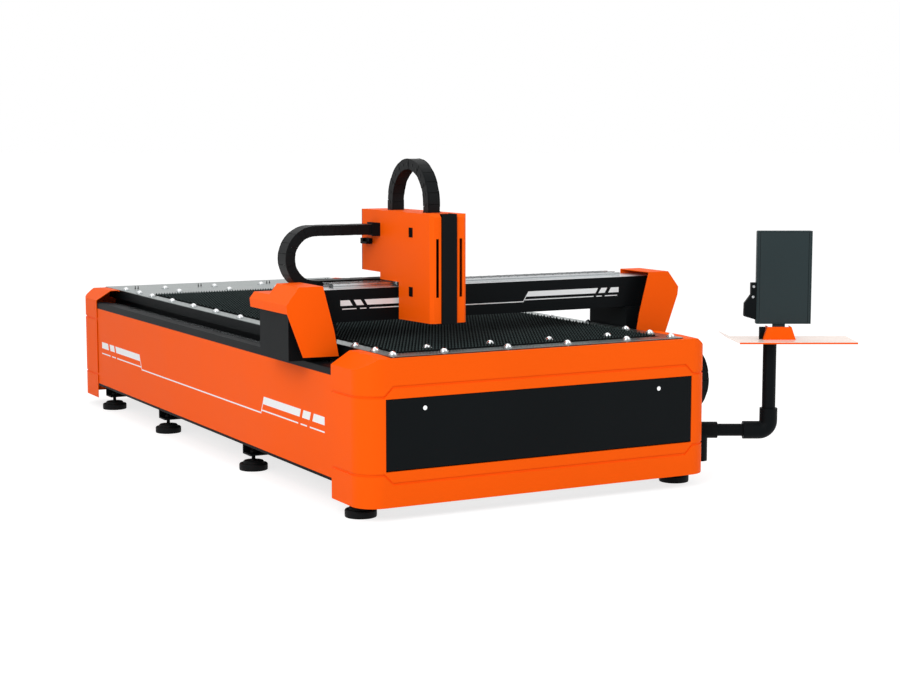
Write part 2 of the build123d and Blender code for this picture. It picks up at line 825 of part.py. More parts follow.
def door_lock(side):
    """Quarter-turn lock: head, barrel, flats and cam, shown unlocked."""
    x = side * LOCK_OFFSET
    skin_front = from_front(DOOR_SETBACK)
    head_front = skin_front - LOCK_HEAD_DEPTH
    head = rod((x, head_front, LOCK_HEIGHT), (0, 1, 0), LOCK_HEAD_RADIUS, LOCK_HEAD_DEPTH)
    barrel_length = LOCK_BARREL_LENGTH + LOCK_HEAD_DEPTH
    barrel = rod((x, head_front, LOCK_HEIGHT), (0, 1, 0), LOCK_BARREL_RADIUS, barrel_length)
    cam_front = skin_front + LOCK_CAM_SETBACK
    cam = prism_y(
        [
            (x + LOCK_HEAD_RADIUS, LOCK_HEIGHT - LOCK_CAM_HALF_WIDTH),
            (x + LOCK_HEAD_RADIUS, LOCK_HEIGHT + LOCK_CAM_HALF_WIDTH),
            (x - LOCK_REACH, LOCK_HEIGHT + LOCK_CAM_TIP_HALF),
            (x - LOCK_REACH, LOCK_HEIGHT - LOCK_CAM_TIP_HALF),
        ],
        cam_front,
        cam_front + LOCK_CAM_THICKNESS,
    )
    slot = plate(
        x - LOCK_SLOT_WIDTH / 2, x + LOCK_SLOT_WIDTH / 2,
        head_front - 1, head_front + LOCK_SLOT_DEPTH,
        LOCK_HEIGHT - LOCK_CAM_TIP_HALF, LOCK_HEIGHT + LOCK_CAM_TIP_HALF,
    )
    return head + barrel + cam - slot


def door_lock_left():
    """Lock on the left, its cam pointing outwards."""
    return door_lock(-1)


def door_lock_right():
    """Lock on the right, its cam pointing inwards."""
    return door_lock(1)


# Slide ways along both sides of the table

def rail_cover():
    """Folded black cover beside the table, whose web stands on the side beam."""
    under = TABLE_TOP - STRIP_THICKNESS
    web = COVER_OUTER - COVER_WEB
    section = [
        (web, SIDE_BEAM_TOP),
        (web + SHEET, SIDE_BEAM_TOP),
        (web + SHEET, under - SHEET),
        (COVER_OUTER - SHEET, under - SHEET),
        (COVER_OUTER - SHEET, COVER_SKIRT),
        (COVER_OUTER, COVER_SKIRT),
        (COVER_OUTER, under),
        (web, under),
    ]
    return prism_y(section, from_front(FRONT_PLATE_REAR + 5), HALF_LENGTH - FRAME_END_INSET)


def rail_covers():
    """Covers on both sides."""
    return both_sides(rail_cover())


def rail_ledge():
    """Folded black ledge outside the slide way, seated on the side panel."""
    outer = HALF_WIDTH - PANEL_INSET
    end = HALF_LENGTH - CAP_DEPTH
    fold = LEDGE_FOLD
    section = [
        (SIDE_BEAM_OUTER, PANEL_TOP),
        (outer, PANEL_TOP),
        (outer, LEDGE_TOP - fold),
        (outer - fold, LEDGE_TOP),
        (LEDGE_INNER, LEDGE_TOP),
        (LEDGE_INNER, LEDGE_TOP - LEDGE_LIP),
        (LEDGE_INNER + SHEET, LEDGE_TOP - LEDGE_LIP),
        (LEDGE_INNER + SHEET, LEDGE_TOP - SHEET),
        (outer - fold - 1, LEDGE_TOP - SHEET),
        (outer - SHEET, LEDGE_TOP - fold - 1),
        (outer - SHEET, PANEL_TOP + SHEET),
        (SIDE_BEAM_OUTER, PANEL_TOP + SHEET),
    ]
    return prism_y(section, -end, end)


def rail_ledges():
    """Ledges on both sides."""
    return both_sides(rail_ledge())


def rail_section(centre, base, width, height, waist):
    """Section of a profiled guide rail with a waist on both sides."""
    half = width / 2
    return [
        (centre - half, base),
        (centre + half, base),
        (centre + half, base + height * 0.35),
        (centre + half - waist, base + height * 0.5),
        (centre + half, base + height * 0.65),
        (centre + half, base + height),
        (centre - half, base + height),
        (centre - half, base + height * 0.65),
        (centre - half + waist, base + height * 0.5),
        (centre - half, base + height * 0.35),
    ]


def guide_rail():
    """Guide rail on the right side beam."""
    start = from_front(SLIDE_WAY_START)
    section = rail_section(RAIL_CENTRE, SIDE_BEAM_TOP, RAIL_WIDTH, RAIL_HEIGHT, RAIL_WAIST)
    return prism_y(section, start, -start)


def guide_rails():
    """Guide rails on both side beams."""
    return both_sides(guide_rail())


def rack():
    """Rack bar on the right side beam, with its tooth face outwards."""
    start = from_front(SLIDE_WAY_START)
    return plate(
        RACK_INNER, RACK_INNER + RACK_WIDTH, start, -start,
        SIDE_BEAM_TOP, SIDE_BEAM_TOP + RACK_HEIGHT,
    )


def racks():
    """Rack bars on both side beams."""
    return both_sides(rack())


# Table plates, slats and ball transfer units

def side_strip():
    """Table strip on the right, which carries a row of ball units."""
    return plate(
        STRIP_INNER, STRIP_OUTER,
        from_front(FRONT_PLATE_REAR), from_front(REAR_PLATE_FRONT),
        TABLE_TOP - STRIP_THICKNESS, TABLE_TOP,
    )


def table_end(front, rear):
    """Table plate across one end of the table."""
    return plate(-STRIP_OUTER, STRIP_OUTER, front, rear, TABLE_TOP - STRIP_THICKNESS, TABLE_TOP)


def table_apron(front, bottom):
    """Folded edge of a table plate towards the slats."""
    top = TABLE_TOP - STRIP_THICKNESS
    return plate(-STRIP_INNER, STRIP_INNER, front, front + STRIP_THICKNESS, bottom, top)


def table_plates():
    """Plates in front of and behind the slats, and the strips beside them."""
    front_edge = from_front(CAP_RIM) + SEAT_GAP
    front_rear = from_front(FRONT_PLATE_REAR)
    front = table_end(front_edge, front_rear) + table_apron(front_rear - STRIP_THICKNESS, SIDE_BEAM_TOP)
    rear_front = from_front(REAR_PLATE_FRONT)
    rear = table_end(rear_front, -front_edge) + table_apron(rear_front, SLAT_BOTTOM)
    return group([front, rear, both_sides(side_strip())])


def slat():
    """One support slat with a row of pointed teeth."""
    step = SLAT_HALF_LENGTH / SLAT_TEETH
    teeth = [
        (SLAT_HALF_LENGTH - step * index, SLAT_TIP - (SLAT_TOOTH_DEPTH if index % 2 == 0 else 0))
        for index in range(2 * SLAT_TEETH + 1)
    ]
    outline = [(-SLAT_HALF_LENGTH, SLAT_BOTTOM), (SLAT_HALF_LENGTH, SLAT_BOTTOM)] + teeth
    return prism_y(outline, -SLAT_THICKNESS / 2, SLAT_THICKNESS / 2)


def slat_count():
    """Number of slats between the front and the rear table plates."""
    room = REAR_PLATE_FRONT - SLAT_FIRST - SLAT_THICKNESS
    return int(room // SLAT_PITCH) + 1


def support_slats():
    """The whole row of slats."""
    one = slat()
    places = [from_front(SLAT_FIRST + SLAT_PITCH * index) for index in range(slat_count())]
    return group([Pos(0, y, 0) * one for y in places])


def slat_ledges():
    """Angle irons along both side beams, on which the slats stand."""
    start = from_front(FRAME_END_INSET + END_TUBE_DEPTH + 1)
    stop = from_front(REAR_PLATE_FRONT) + STRIP_THICKNESS
    section = [
        (SIDE_BEAM_INNER, SLAT_BOTTOM - LEDGE_ANGLE_WIDTH),
        (SIDE_BEAM_INNER, SLAT_BOTTOM),
        (SIDE_BEAM_INNER - LEDGE_ANGLE_WIDTH, SLAT_BOTTOM),
        (SIDE_BEAM_INNER - LEDGE_ANGLE_WIDTH, SLAT_BOTTOM - LEDGE_ANGLE_THICKNESS),
        (SIDE_BEAM_INNER - LEDGE_ANGLE_THICKNESS, SLAT_BOTTOM - LEDGE_ANGLE_THICKNESS),
        (SIDE_BEAM_INNER - LEDGE_ANGLE_THICKNESS, SLAT_BOTTOM - LEDGE_ANGLE_WIDTH),
    ]
    return both_sides(prism_y(section, start, stop))


def plate_ball_places():
    """Places of the ball units that stand on the plates and strips."""
    across = [side * x for x in (BALL_ROW_INNER, BALL_ROW_MIDDLE, BALL_ROW_EDGE) for side in (-1, 1)]
    rows = (BALL_FRONT_ROWS[0],) + BALL_REAR_ROWS
    places = [(x, from_front(row)) for row in rows for x in across]
    step = (BALL_SIDE_LAST - BALL_SIDE_FIRST) / (BALL_SIDE_COUNT - 1)
    stations = [BALL_FRONT_ROWS[1]] + [BALL_SIDE_FIRST + step * index for index in range(BALL_SIDE_COUNT)]
    places += [(side * BALL_ROW_EDGE, from_front(station)) for station in stations for side in (-1, 1)]
    return places


def post_ball_places():
    """Places of the ball units that stand on posts among the slats."""
    row = BALL_FRONT_ROWS[1] + SLAT_PITCH / 2 - (BALL_FRONT_ROWS[1] - SLAT_FIRST) % SLAT_PITCH
    return [(side * x, from_front(row)) for x in (BALL_ROW_INNER, BALL_ROW_MIDDLE) for side in (-1, 1)]


def ball_cups():
    """Eight-sided cups of the ball units."""
    corners = [radians(45 * turn + 22.5) for turn in range(8)]
    outline = [(CUP_RADIUS * cos(a), CUP_RADIUS * sin(a)) for a in corners]
    cup = prism_z(outline, TABLE_TOP, TABLE_TOP + CUP_HEIGHT)
    return group([Pos(x, y, 0) * cup for x, y in plate_ball_places() + post_ball_places()])


def transfer_balls():
    """The balls, as the part of each that stands above its cup."""
    seat = TABLE_TOP + CUP_HEIGHT
    ball = Pos(0, 0, seat - BALL_CENTRE_DROP) * Solid.make_sphere(
        BALL_RADIUS, angle1=-90, angle2=90, angle3=360
    )
    side = 2 * BALL_RADIUS
    keep = plate(-side, side, -side, side, seat, seat + side)
    dome = ball & keep
    return group([Pos(x, y, 0) * dome for x, y in plate_ball_places() + post_ball_places()])


def ball_posts():
    """Posts and the cross bar under the ball units among the slats."""
    places = post_ball_places()
    y = places[0][1]
    half = SLAT_PITCH / 2 - SLAT_THICKNESS / 2 - BALL_BAR_GAP
    bar_top = SLAT_BOTTOM - LEDGE_ANGLE_THICKNESS
    inner = SIDE_BEAM_INNER - LEDGE_ANGLE_THICKNESS
    bar = plate(-inner, inner, y - half, y + half, bar_top - BALL_BAR_HEIGHT, bar_top)
    for x, _ in places:
        bar = bar + rod((x, y, bar_top), (0, 0, 1), BALL_POST_RADIUS, TABLE_TOP - bar_top)
    return bar


def table_supports():
    """Angle irons of the slats and the bar under the middle ball units."""
    return group([slat_ledges(), ball_posts()])


def slag_drawers():
    """Two open trays that catch slag and small cut parts."""
    trays = []
    for centre in DRAWER_CENTRES:
        front = centre - DRAWER_LENGTH / 2
        rear = centre + DRAWER_LENGTH / 2
        top = CROSS_MEMBER_TOP + DRAWER_HEIGHT
        outside = plate(-DRAWER_HALF_WIDTH, DRAWER_HALF_WIDTH, front, rear, CROSS_MEMBER_TOP, top)
        inside = plate(
            -DRAWER_HALF_WIDTH + SHEET, DRAWER_HALF_WIDTH - SHEET,
            front + SHEET, rear - SHEET,
            CROSS_MEMBER_TOP + SHEET, top + 1,
        )
        trays.append(outside - inside)
    return group(trays)


# Gantry

def gantry_foot():
    """Foot plate on the right, which rides on two blocks and carries the end box."""
    front = from_front(END_FRONT)
    body = plate(
        RAIL_CENTRE - BLOCK_WIDTH / 2, END_OUTER,
        front, front + END_DEPTH,
        FOOT_PLATE_BOTTOM, FOOT_PLATE_TOP,
    )
    x, y = pinion_place()
    hole_radius = PINION_SHAFT_RADIUS + SHAFT_HOLE_GAP
    return body - rod((x, y, FOOT_PLATE_BOTTOM - 1), (0, 0, 1), hole_radius, FOOT_PLATE + 2)


def pinion_place():
    """Axis of the right drive pinion, in mesh with the rack."""
    x = RACK_INNER + RACK_WIDTH + PINION_RADIUS + MESH_GAP
    return x, from_front(END_FRONT + END_DEPTH / 2)


def gear(x, y, bottom, shaft_top):
    """Straight-toothed pinion on its shaft."""
    outline = []
    pitch = 2 * pi / PINION_TEETH
    flanks = ((0, PINION_ROOT), (0.3, PINION_RADIUS), (0.55, PINION_RADIUS), (0.85, PINION_ROOT))
    for tooth in range(PINION_TEETH):
        start = tooth * pitch
        for turn, radius in flanks:
            angle = start + turn * pitch
            outline.append((x + radius * cos(angle), y + radius * sin(angle)))
    body = prism_z(outline, bottom, bottom + PINION_FACE)
    return body + rod((x, y, bottom), (0, 0, 1), PINION_SHAFT_RADIUS, shaft_top - bottom)


def pinion_right():
    """Right drive pinion of the gantry."""
    x, y = pinion_place()
    return gear(x, y, SIDE_BEAM_TOP + Y_PINION_RISE, FOOT_PLATE_TOP)


def pinion_left():
    """Left drive pinion of the gantry."""
    return to_left(pinion_right())


def drive_motor():
    """Right gearbox and servo motor, stood on the foot plate inside the end box."""
    x, y = pinion_place()
    return motor_stack(x, y, FOOT_PLATE_TOP)


def motor_stack(x, y, base):
    """Square gearbox under a larger square motor with a round rear end."""
    box = GEARBOX_SIDE / 2
    body = plate(x - box, x + box, y - box, y + box, base, base + GEARBOX_HEIGHT)
    half = MOTOR_SIDE / 2
    cap_height = MOTOR_HEIGHT * MOTOR_CAP_SHARE
    top = base + GEARBOX_HEIGHT + MOTOR_HEIGHT - cap_height
    motor = plate(x - half, x + half, y - half, y + half, base + GEARBOX_HEIGHT, top)
    cap = rod((x, y, top), (0, 0, 1), half - MOTOR_CAP_INSET, cap_height)
    return body + motor + cap


def y_motors():
    """Gearboxes and motors on both sides of the gantry."""
    return both_sides(drive_motor())


def bearing_block():
    """Right pair of blocks that run on the guide rail."""
    base = FOOT_PLATE_BOTTOM - BLOCK_HEIGHT
    half = BLOCK_WIDTH / 2
    slot = RAIL_WIDTH / 2 + SEAT_GAP
    slot_top = SIDE_BEAM_TOP + RAIL_HEIGHT + SEAT_GAP
    section = [
        (RAIL_CENTRE - half, base),
        (RAIL_CENTRE - slot, base),
        (RAIL_CENTRE - slot, slot_top),
        (RAIL_CENTRE + slot, slot_top),
        (RAIL_CENTRE + slot, base),
        (RAIL_CENTRE + half, base),
        (RAIL_CENTRE + half, FOOT_PLATE_BOTTOM),
        (RAIL_CENTRE - half, FOOT_PLATE_BOTTOM),
    ]
    places = [from_front(station) for station in Y_BLOCK_STATIONS]
    return group([prism_y(section, y - BLOCK_LENGTH / 2, y + BLOCK_LENGTH / 2) for y in places])


def y_blocks():
    """Blocks on the guide rails of both sides."""
    return both_sides(bearing_block())


def gantry_end():
    """Right end box: open below, under the beam, with a raised outer wall."""
    front = from_front(END_FRONT)
    rear = front + END_DEPTH
    outside = [
        (END_INNER, FOOT_PLATE_TOP),
        (END_OUTER, FOOT_PLATE_TOP),
        (END_OUTER, END_TOP),
        (END_OUTER - END_LIP, END_TOP),
        (END_OUTER - END_LIP, BEAM_BOTTOM),
        (END_INNER, BEAM_BOTTOM),
    ]
    box = prism_y(outside, front, rear)
    room = plate(
        END_INNER + END_WALL, END_OUTER - END_WALL,
        front + END_WALL, rear - END_WALL,
        FOOT_PLATE_TOP - 1, BEAM_BOTTOM - END_WALL,
    )
    return box - room


def gantry_ends():
    """Foot plates and end boxes of both sides."""
    return group([both_sides(gantry_foot()), both_sides(gantry_end())])


def gantry_beam():
    """Hollow beam across the machine."""
    front = from_front(BEAM_FRONT) + BEAM_SKIN
    rear = from_front(BEAM_FRONT) + BEAM_DEPTH
    tube = plate(-BEAM_HALF, BEAM_HALF, front, rear, BEAM_BOTTOM, BEAM_TOP)
    hollow = plate(
        -BEAM_HALF - 1, BEAM_HALF + 1,
        front + BEAM_WALL, rear - BEAM_WALL,
        BEAM_BOTTOM + BEAM_WALL, BEAM_TOP - BEAM_WALL,
    )
    return tube - hollow


def beam_skin():
    """Black sheet on the front of the beam, folded back between the end boxes."""
    front = from_front(BEAM_FRONT)
    inner = END_INNER
    section = [
        (front, BEAM_BOTTOM - BEAM_SKIN),
        (front + BEAM_SKIN_FOLD, BEAM_BOTTOM - BEAM_SKIN),
        (front + BEAM_SKIN_FOLD, BEAM_BOTTOM),
        (front + BEAM_SKIN, BEAM_BOTTOM),
        (front + BEAM_SKIN, BEAM_TOP - BEAM_SKIN_DROP),
        (front, BEAM_TOP - BEAM_SKIN_DROP),
    ]
    folded = prism_x(section, -inner + RUN_GAP, inner - RUN_GAP)
    flat = plate(
        -BEAM_HALF, BEAM_HALF,
        front, front + BEAM_SKIN,
        BEAM_BOTTOM, BEAM_TOP - BEAM_SKIN_DROP,
    )
    return folded + flat


def x_rail_places():
    """Y of the two rails on top of the beam."""
    front = from_front(BEAM_FRONT)
    return front + X_RAIL_INSET, front + BEAM_DEPTH - X_RAIL_REAR_INSET


def x_rails():
    """Two guide rails on top of the beam."""
    reach = END_INNER - X_RAIL_END_GAP
    rails = []
    for y in x_rail_places():
        section = rail_section(y, BEAM_TOP, RAIL_WIDTH, RAIL_HEIGHT, RAIL_WAIST)
        rails.append(prism_x(section, -reach, reach))
    return group(rails)


def x_rack():
    """Rack bar between the rails on the beam, with its tooth face to the rear."""
    reach = END_INNER - X_RAIL_END_GAP
    front = from_front(BEAM_FRONT) + X_RACK_OFFSET - RACK_WIDTH
    return plate(-reach, reach, front, front + RACK_WIDTH, BEAM_TOP, BEAM_TOP + RACK_HEIGHT)


def housing_slope(height):
    """X of the right housing's slanted outer side at a height above the ridge."""
    share = (height - HOUSING_RIDGE) / (HOUSING_TOP - HOUSING_RIDGE)
    return HALF_WIDTH + HOUSING_RIDGE_OUT - HOUSING_SLOPE * share


def housing_face():
    """Front outline of the right end housing as (x, z) points."""
    ridge = HALF_WIDTH + HOUSING_RIDGE_OUT
    return [
        (HOUSING_FOOT_INNER, HOUSING_BOTTOM),
        (HOUSING_FOOT_OUTER, HOUSING_BOTTOM + SHEET),
        (ridge - HOUSING_HEM_INSET, HOUSING_HEM),
        (ridge, HOUSING_RIDGE),
        (housing_slope(HOUSING_TOP), HOUSING_TOP),
        (HOUSING_TOP_INNER, HOUSING_TOP),
        (HOUSING_WAIST, HOUSING_WAIST_HEIGHT),
    ]


def housing_roof(top):
    """Section of the right housing's outer side and its roof at a height."""
    ridge = HALF_WIDTH + HOUSING_RIDGE_OUT
    hem = ridge - HOUSING_HEM_INSET
    return [
        (hem, HOUSING_HEM),
        (ridge, HOUSING_RIDGE),
        (housing_slope(top), top),
        (HOUSING_TOP_INNER, top),
        (HOUSING_TOP_INNER, top - HOUSING_SKIN),
        (housing_slope(top) - HOUSING_SKIN / 2, top - HOUSING_SKIN),
        (ridge - HOUSING_SKIN, HOUSING_RIDGE),
        (hem - HOUSING_SKIN, HOUSING_HEM),
    ]


def end_housing():
    """Right end housing: face plate, outer facets, roof, and a lower rear part."""
    front = from_front(GANTRY_FRONT)
    step = front + HOUSING_HIGH_DEPTH
    rear = front + HOUSING_DEPTH
    ridge = HALF_WIDTH + HOUSING_RIDGE_OUT
    low_slope = housing_slope(HOUSING_LOW_TOP)
    face = prism_y(housing_face(), front, front + HOUSING_SKIN)
    riser = [
        (HOUSING_TOP_INNER, HOUSING_LOW_TOP - HOUSING_SKIN),
        (low_slope - HOUSING_SKIN / 2, HOUSING_LOW_TOP - HOUSING_SKIN),
        (housing_slope(HOUSING_TOP), HOUSING_TOP),
        (HOUSING_TOP_INNER, HOUSING_TOP),
    ]
    rear_wall = [
        (HOUSING_TOP_INNER, HOUSING_HEM),
        (ridge - HOUSING_HEM_INSET, HOUSING_HEM),
        (ridge, HOUSING_RIDGE),
        (low_slope, HOUSING_LOW_TOP),
        (HOUSING_TOP_INNER, HOUSING_LOW_TOP),
    ]
    high_roof = prism_y(housing_roof(HOUSING_TOP), front, step)
    low_roof = prism_y(housing_roof(HOUSING_LOW_TOP), step - HOUSING_SKIN, rear)
    shell = face + high_roof + low_roof + prism_y(riser, step - HOUSING_SKIN, step)
    shell = shell + prism_y(rear_wall, rear - HOUSING_SKIN, rear)
    stay_front = front + HOUSING_STAY_PLACE
    stay = plate(
        END_OUTER - 2 * END_WALL, ridge - HOUSING_SKIN,
        stay_front, stay_front + HOUSING_STAY_WIDTH,
        END_TOP, END_TOP + HOUSING_STAY_THICKNESS,
    )
    return shell + stay


def end_housings():
    """Housings over both ends of the gantry."""
    return both_sides(end_housing())


def cable_tray():
    """Tray behind the beam for the carriage's cable chain."""
    floor = X_CHAIN_BOTTOM - SEAT_GAP
    front = from_front(TRAY_FRONT)
    rear = front + TRAY_INNER_WIDTH + 2 * TRAY_SKIN
    beam_rear = from_front(BEAM_FRONT) + BEAM_DEPTH
    section = [
        (beam_rear, floor - TRAY_SKIN),
        (rear, floor - TRAY_SKIN),
        (rear, TRAY_WALL_TOP),
        (rear - TRAY_SKIN, TRAY_WALL_TOP),
        (rear - TRAY_SKIN, floor),
        (front + TRAY_SKIN, floor),
        (front + TRAY_SKIN, BEAM_TOP - TRAY_FRONT_DROP),
        (front, BEAM_TOP - TRAY_FRONT_DROP),
        (front, floor),
        (beam_rear, floor),
    ]
    end = HALF_WIDTH - TRAY_END_GAP
    return prism_x(section, -end, end)


# Cable chains

def chain_run(start, along, across, side, length, thickness, width):
    """Straight chain run, its links marked by notches on both faces."""
    links = max(1, round(length / CHAIN_LINK))
    pitch = length / links
    half = CHAIN_NOTCH / 2
    marks = [pitch * index for index in range(1, links)]
    lower = [(0, 0)]
    upper = [(0, thickness)]
    for mark in marks:
        lower += [(mark - half, 0), (mark, CHAIN_NOTCH_DEPTH), (mark + half, 0)]
        upper += [(mark - half, thickness), (mark, thickness - CHAIN_NOTCH_DEPTH), (mark + half, thickness)]
    lower.append((length, 0))
    upper.append((length, thickness))
    outline = lower + upper[::-1]
    origin = Vector(*start)
    forward = Vector(*along)
    rise = Vector(*across)
    points = [origin + forward * s + rise * t for s, t in outline]
    return prism([tuple(point) for point in points], tuple(Vector(*side) * width))


def chain_bend(centre, bulge, up, side, radius, thickness, width):
    """Half turn of a chain in straight links, notched on its outer face."""
    links = max(4, round(pi * radius / CHAIN_LINK))
    inner = radius - thickness / 2
    outer = radius + thickness / 2
    step = pi / links
    half = CHAIN_NOTCH / 2 / outer
    outline = [(outer, -pi / 2)]
    for index in range(1, links):
        angle = -pi / 2 + step * index
        outline += [(outer, angle - half), (outer - CHAIN_NOTCH_DEPTH, angle), (outer, angle + half)]
    outline.append((outer, pi / 2))
    outline += [(inner, pi / 2 - step * index) for index in range(links + 1)]
    origin = Vector(*centre)
    forward = Vector(*bulge)
    rise = Vector(*up)
    points = [origin + forward * (r * cos(a)) + rise * (r * sin(a)) for r, a in outline]
    return prism([tuple(point) for point in points], tuple(Vector(*side) * width))


def x_chain_side():
    """Front face of the carriage's chain."""
    return from_front(X_CHAIN_CENTRE_Y) - CHAIN_WIDTH_X / 2


def x_chain_lower():
    """Run of the carriage's chain that lies in the tray."""
    start = (X_CHAIN_BEND_PLACE, x_chain_side(), X_CHAIN_BOTTOM)
    length = X_CHAIN_FIXED_END - X_CHAIN_BEND_PLACE
    return chain_run(start, (1, 0, 0), (0, 0, 1), (0, 1, 0), length, CHAIN_THICKNESS, CHAIN_WIDTH_X)


def x_chain_bend():
    """Half turn of the carriage's chain."""
    centre = (X_CHAIN_BEND_PLACE, x_chain_side(), X_CHAIN_BOTTOM + CHAIN_THICKNESS / 2 + CHAIN_BEND_X)
    return chain_bend(centre, (-1, 0, 0), (0, 0, 1), (0, 1, 0), CHAIN_BEND_X, CHAIN_THICKNESS, CHAIN_WIDTH_X)


def x_chain_moving_end():
    """X of the chain's end at the carriage."""
    return CARRIAGE_LEFT - X_BRACKET_REACH


def x_chain_upper():
    """Run of the carriage's chain that ends at the carriage."""
    start = (X_CHAIN_BEND_PLACE, x_chain_side(), X_CHAIN_BOTTOM + 2 * CHAIN_BEND_X)
    length = x_chain_moving_end() - X_CHAIN_BEND_PLACE
    return chain_run(start, (1, 0, 0), (0, 0, 1), (0, 1, 0), length, CHAIN_THICKNESS, CHAIN_WIDTH_X)


def y_chain_lower():
    """Run of the gantry's chain that lies in the trough."""
    start = (Y_CHAIN_INNER, from_front(Y_CHAIN_BEND_PLACE), Y_CHAIN_BOTTOM)
    length = Y_CHAIN_FIXED_END - Y_CHAIN_BEND_PLACE
    return chain_run(start, (0, 1, 0), (0, 0, 1), (1, 0, 0), length, Y_CHAIN_THICKNESS, Y_CHAIN_WIDTH)


def y_chain_bend():
    """Half turn of the gantry's chain."""
    centre = (
        Y_CHAIN_INNER,
        from_front(Y_CHAIN_BEND_PLACE),
        Y_CHAIN_BOTTOM + Y_CHAIN_THICKNESS / 2 + Y_CHAIN_BEND,
    )
    front, up, side = (0, -1, 0), (0, 0, 1), (1, 0, 0)
    return chain_bend(centre, front, up, side, Y_CHAIN_BEND, Y_CHAIN_THICKNESS, Y_CHAIN_WIDTH)


def y_chain_upper():
    """Run of the gantry's chain that ends under the right end box."""
    start = (Y_CHAIN_INNER, from_front(Y_CHAIN_BEND_PLACE), Y_CHAIN_BOTTOM + 2 * Y_CHAIN_BEND)
    length = Y_CHAIN_MOVING_END - Y_CHAIN_BEND_PLACE
    return chain_run(start, (0, 1, 0), (0, 0, 1), (1, 0, 0), length, Y_CHAIN_THICKNESS, Y_CHAIN_WIDTH)


def y_chain_bracket():
    """Bent bracket between the right foot plate and the chain's moving end."""
    y = from_front(Y_CHAIN_MOVING_END)
    low = Y_CHAIN_BOTTOM + 2 * Y_CHAIN_BEND
    wall = CHAIN_BRACKET_WALL
    section = [
        (y, low),
        (y + wall, low),
        (y + wall, FOOT_PLATE_BOTTOM - wall),
        (y + CHAIN_BRACKET_FOOT, FOOT_PLATE_BOTTOM - wall),
        (y + CHAIN_BRACKET_FOOT, FOOT_PLATE_BOTTOM),
        (y, FOOT_PLATE_BOTTOM),
    ]
    return prism_x(section, Y_CHAIN_INNER, Y_CHAIN_INNER + Y_CHAIN_WIDTH)


def y_chain_trough():
    """Trough along the right side, on its stand-offs, with an end stop."""
    floor = Y_CHAIN_BOTTOM - SEAT_GAP
    inner = Y_CHAIN_INNER - TROUGH_SIDE_GAP
    outer = Y_CHAIN_INNER + Y_CHAIN_WIDTH + TROUGH_SIDE_GAP
    front = from_front(TROUGH_FRONT)
    rear = from_front(Y_CHAIN_FIXED_END + TROUGH_TAIL)
    section = [
        (inner - SHEET, floor - SHEET),
        (outer + SHEET, floor - SHEET),
        (outer + SHEET, floor + TROUGH_HEIGHT),
        (outer, floor + TROUGH_HEIGHT),
        (outer, floor),
        (inner, floor),
        (inner, floor + TROUGH_HEIGHT),
        (inner - SHEET, floor + TROUGH_HEIGHT),
    ]
    trough = prism_y(section, front, rear)
    panel = HALF_WIDTH - PANEL_INSET
    half = TROUGH_STAY_WIDTH / 2
    for share in TROUGH_STAY_SHARES:
        y = front + (rear - front) * share
        stay_top = floor + TROUGH_HEIGHT
        trough = trough + plate(panel, inner - SHEET, y - half, y + half, floor - SHEET, stay_top)
    stop_y = from_front(Y_CHAIN_FIXED_END)
    stop = plate(inner, outer, stop_y, stop_y + CHAIN_STOP_THICKNESS, floor, floor + Y_CHAIN_THICKNESS)
    return trough + stop


# Carriage

def carriage_side_points():
    """Side outline of the carriage cover, which straddles the beam."""
    front = from_front(CARRIAGE_FRONT)
    rear = from_front(CARRIAGE_REAR)
    at_beam = from_front(BEAM_FRONT - CARRIAGE_BEAM_GAP)
    step = from_front(CARRIAGE_STEP_Y)
    chamfer = CARRIAGE_CHAMFER
    return [
        (front, CARRIAGE_BOTTOM),
        (at_beam, CARRIAGE_BOTTOM - CARRIAGE_REAR_DROP),
        (at_beam, BEAM_TOP + RACK_HEIGHT + RUN_GAP),
        (step, BEAM_TOP + RACK_HEIGHT + RUN_GAP),
        (step, CARRIAGE_STEP_Z),
        (rear, CARRIAGE_STEP_Z),
        (rear, CARRIAGE_TOP),
        (front + chamfer, CARRIAGE_TOP),
        (front, CARRIAGE_TOP - chamfer),
    ]


def carriage_plan(inset):
    """Plan of the cover with chamfered front corners."""
    left = CARRIAGE_LEFT + inset
    right = CARRIAGE_RIGHT - inset
    front = from_front(CARRIAGE_FRONT) + inset
    rear = from_front(CARRIAGE_REAR)
    chamfer = CARRIAGE_CHAMFER
    return [
        (left + chamfer, front),
        (right - chamfer, front),
        (right, front + chamfer),
        (right, rear + inset),
        (left, rear + inset),
        (left, front + chamfer),
    ]


def carriage_cover():
    """Folded orange cover with a front slot, vent slots and side windows."""
    low = CARRIAGE_BOTTOM - 2 * CARRIAGE_REAR_DROP
    outside = prism_x(carriage_side_points(), CARRIAGE_LEFT, CARRIAGE_RIGHT)
    outside = outside & prism_z(carriage_plan(0), low, CARRIAGE_TOP)
    top = CARRIAGE_TOP - CARRIAGE_SKIN
    inside = prism_z(carriage_plan(CARRIAGE_SKIN), low, top)
    front = from_front(CARRIAGE_FRONT)
    bevel = CARRIAGE_CHAMFER + CARRIAGE_SKIN
    nose = [
        (front - 1, top + 1),
        (front - 1, CARRIAGE_TOP - bevel),
        (front + CARRIAGE_SKIN, CARRIAGE_TOP - bevel),
        (front + bevel, top),
        (front + bevel, top + 1),
    ]
    inside = inside - prism_x(nose, CARRIAGE_LEFT - 1, CARRIAGE_RIGHT + 1)
    return outside - inside - band_slot() - arch_slots() - vent_slots() - side_windows()


def band_slot():
    """Room in the cover's front and roof for the black band."""
    return plate(
        CARRIAGE_X - CARRIAGE_SLOT_HALF, CARRIAGE_X + CARRIAGE_SLOT_HALF,
        from_front(CARRIAGE_FRONT) - 1, from_front(BAND_FRONT + BAND_DEPTH + BAND_ROOM),
        CARRIAGE_BOTTOM - 2 * CARRIAGE_REAR_DROP, CARRIAGE_TOP + 1,
    )


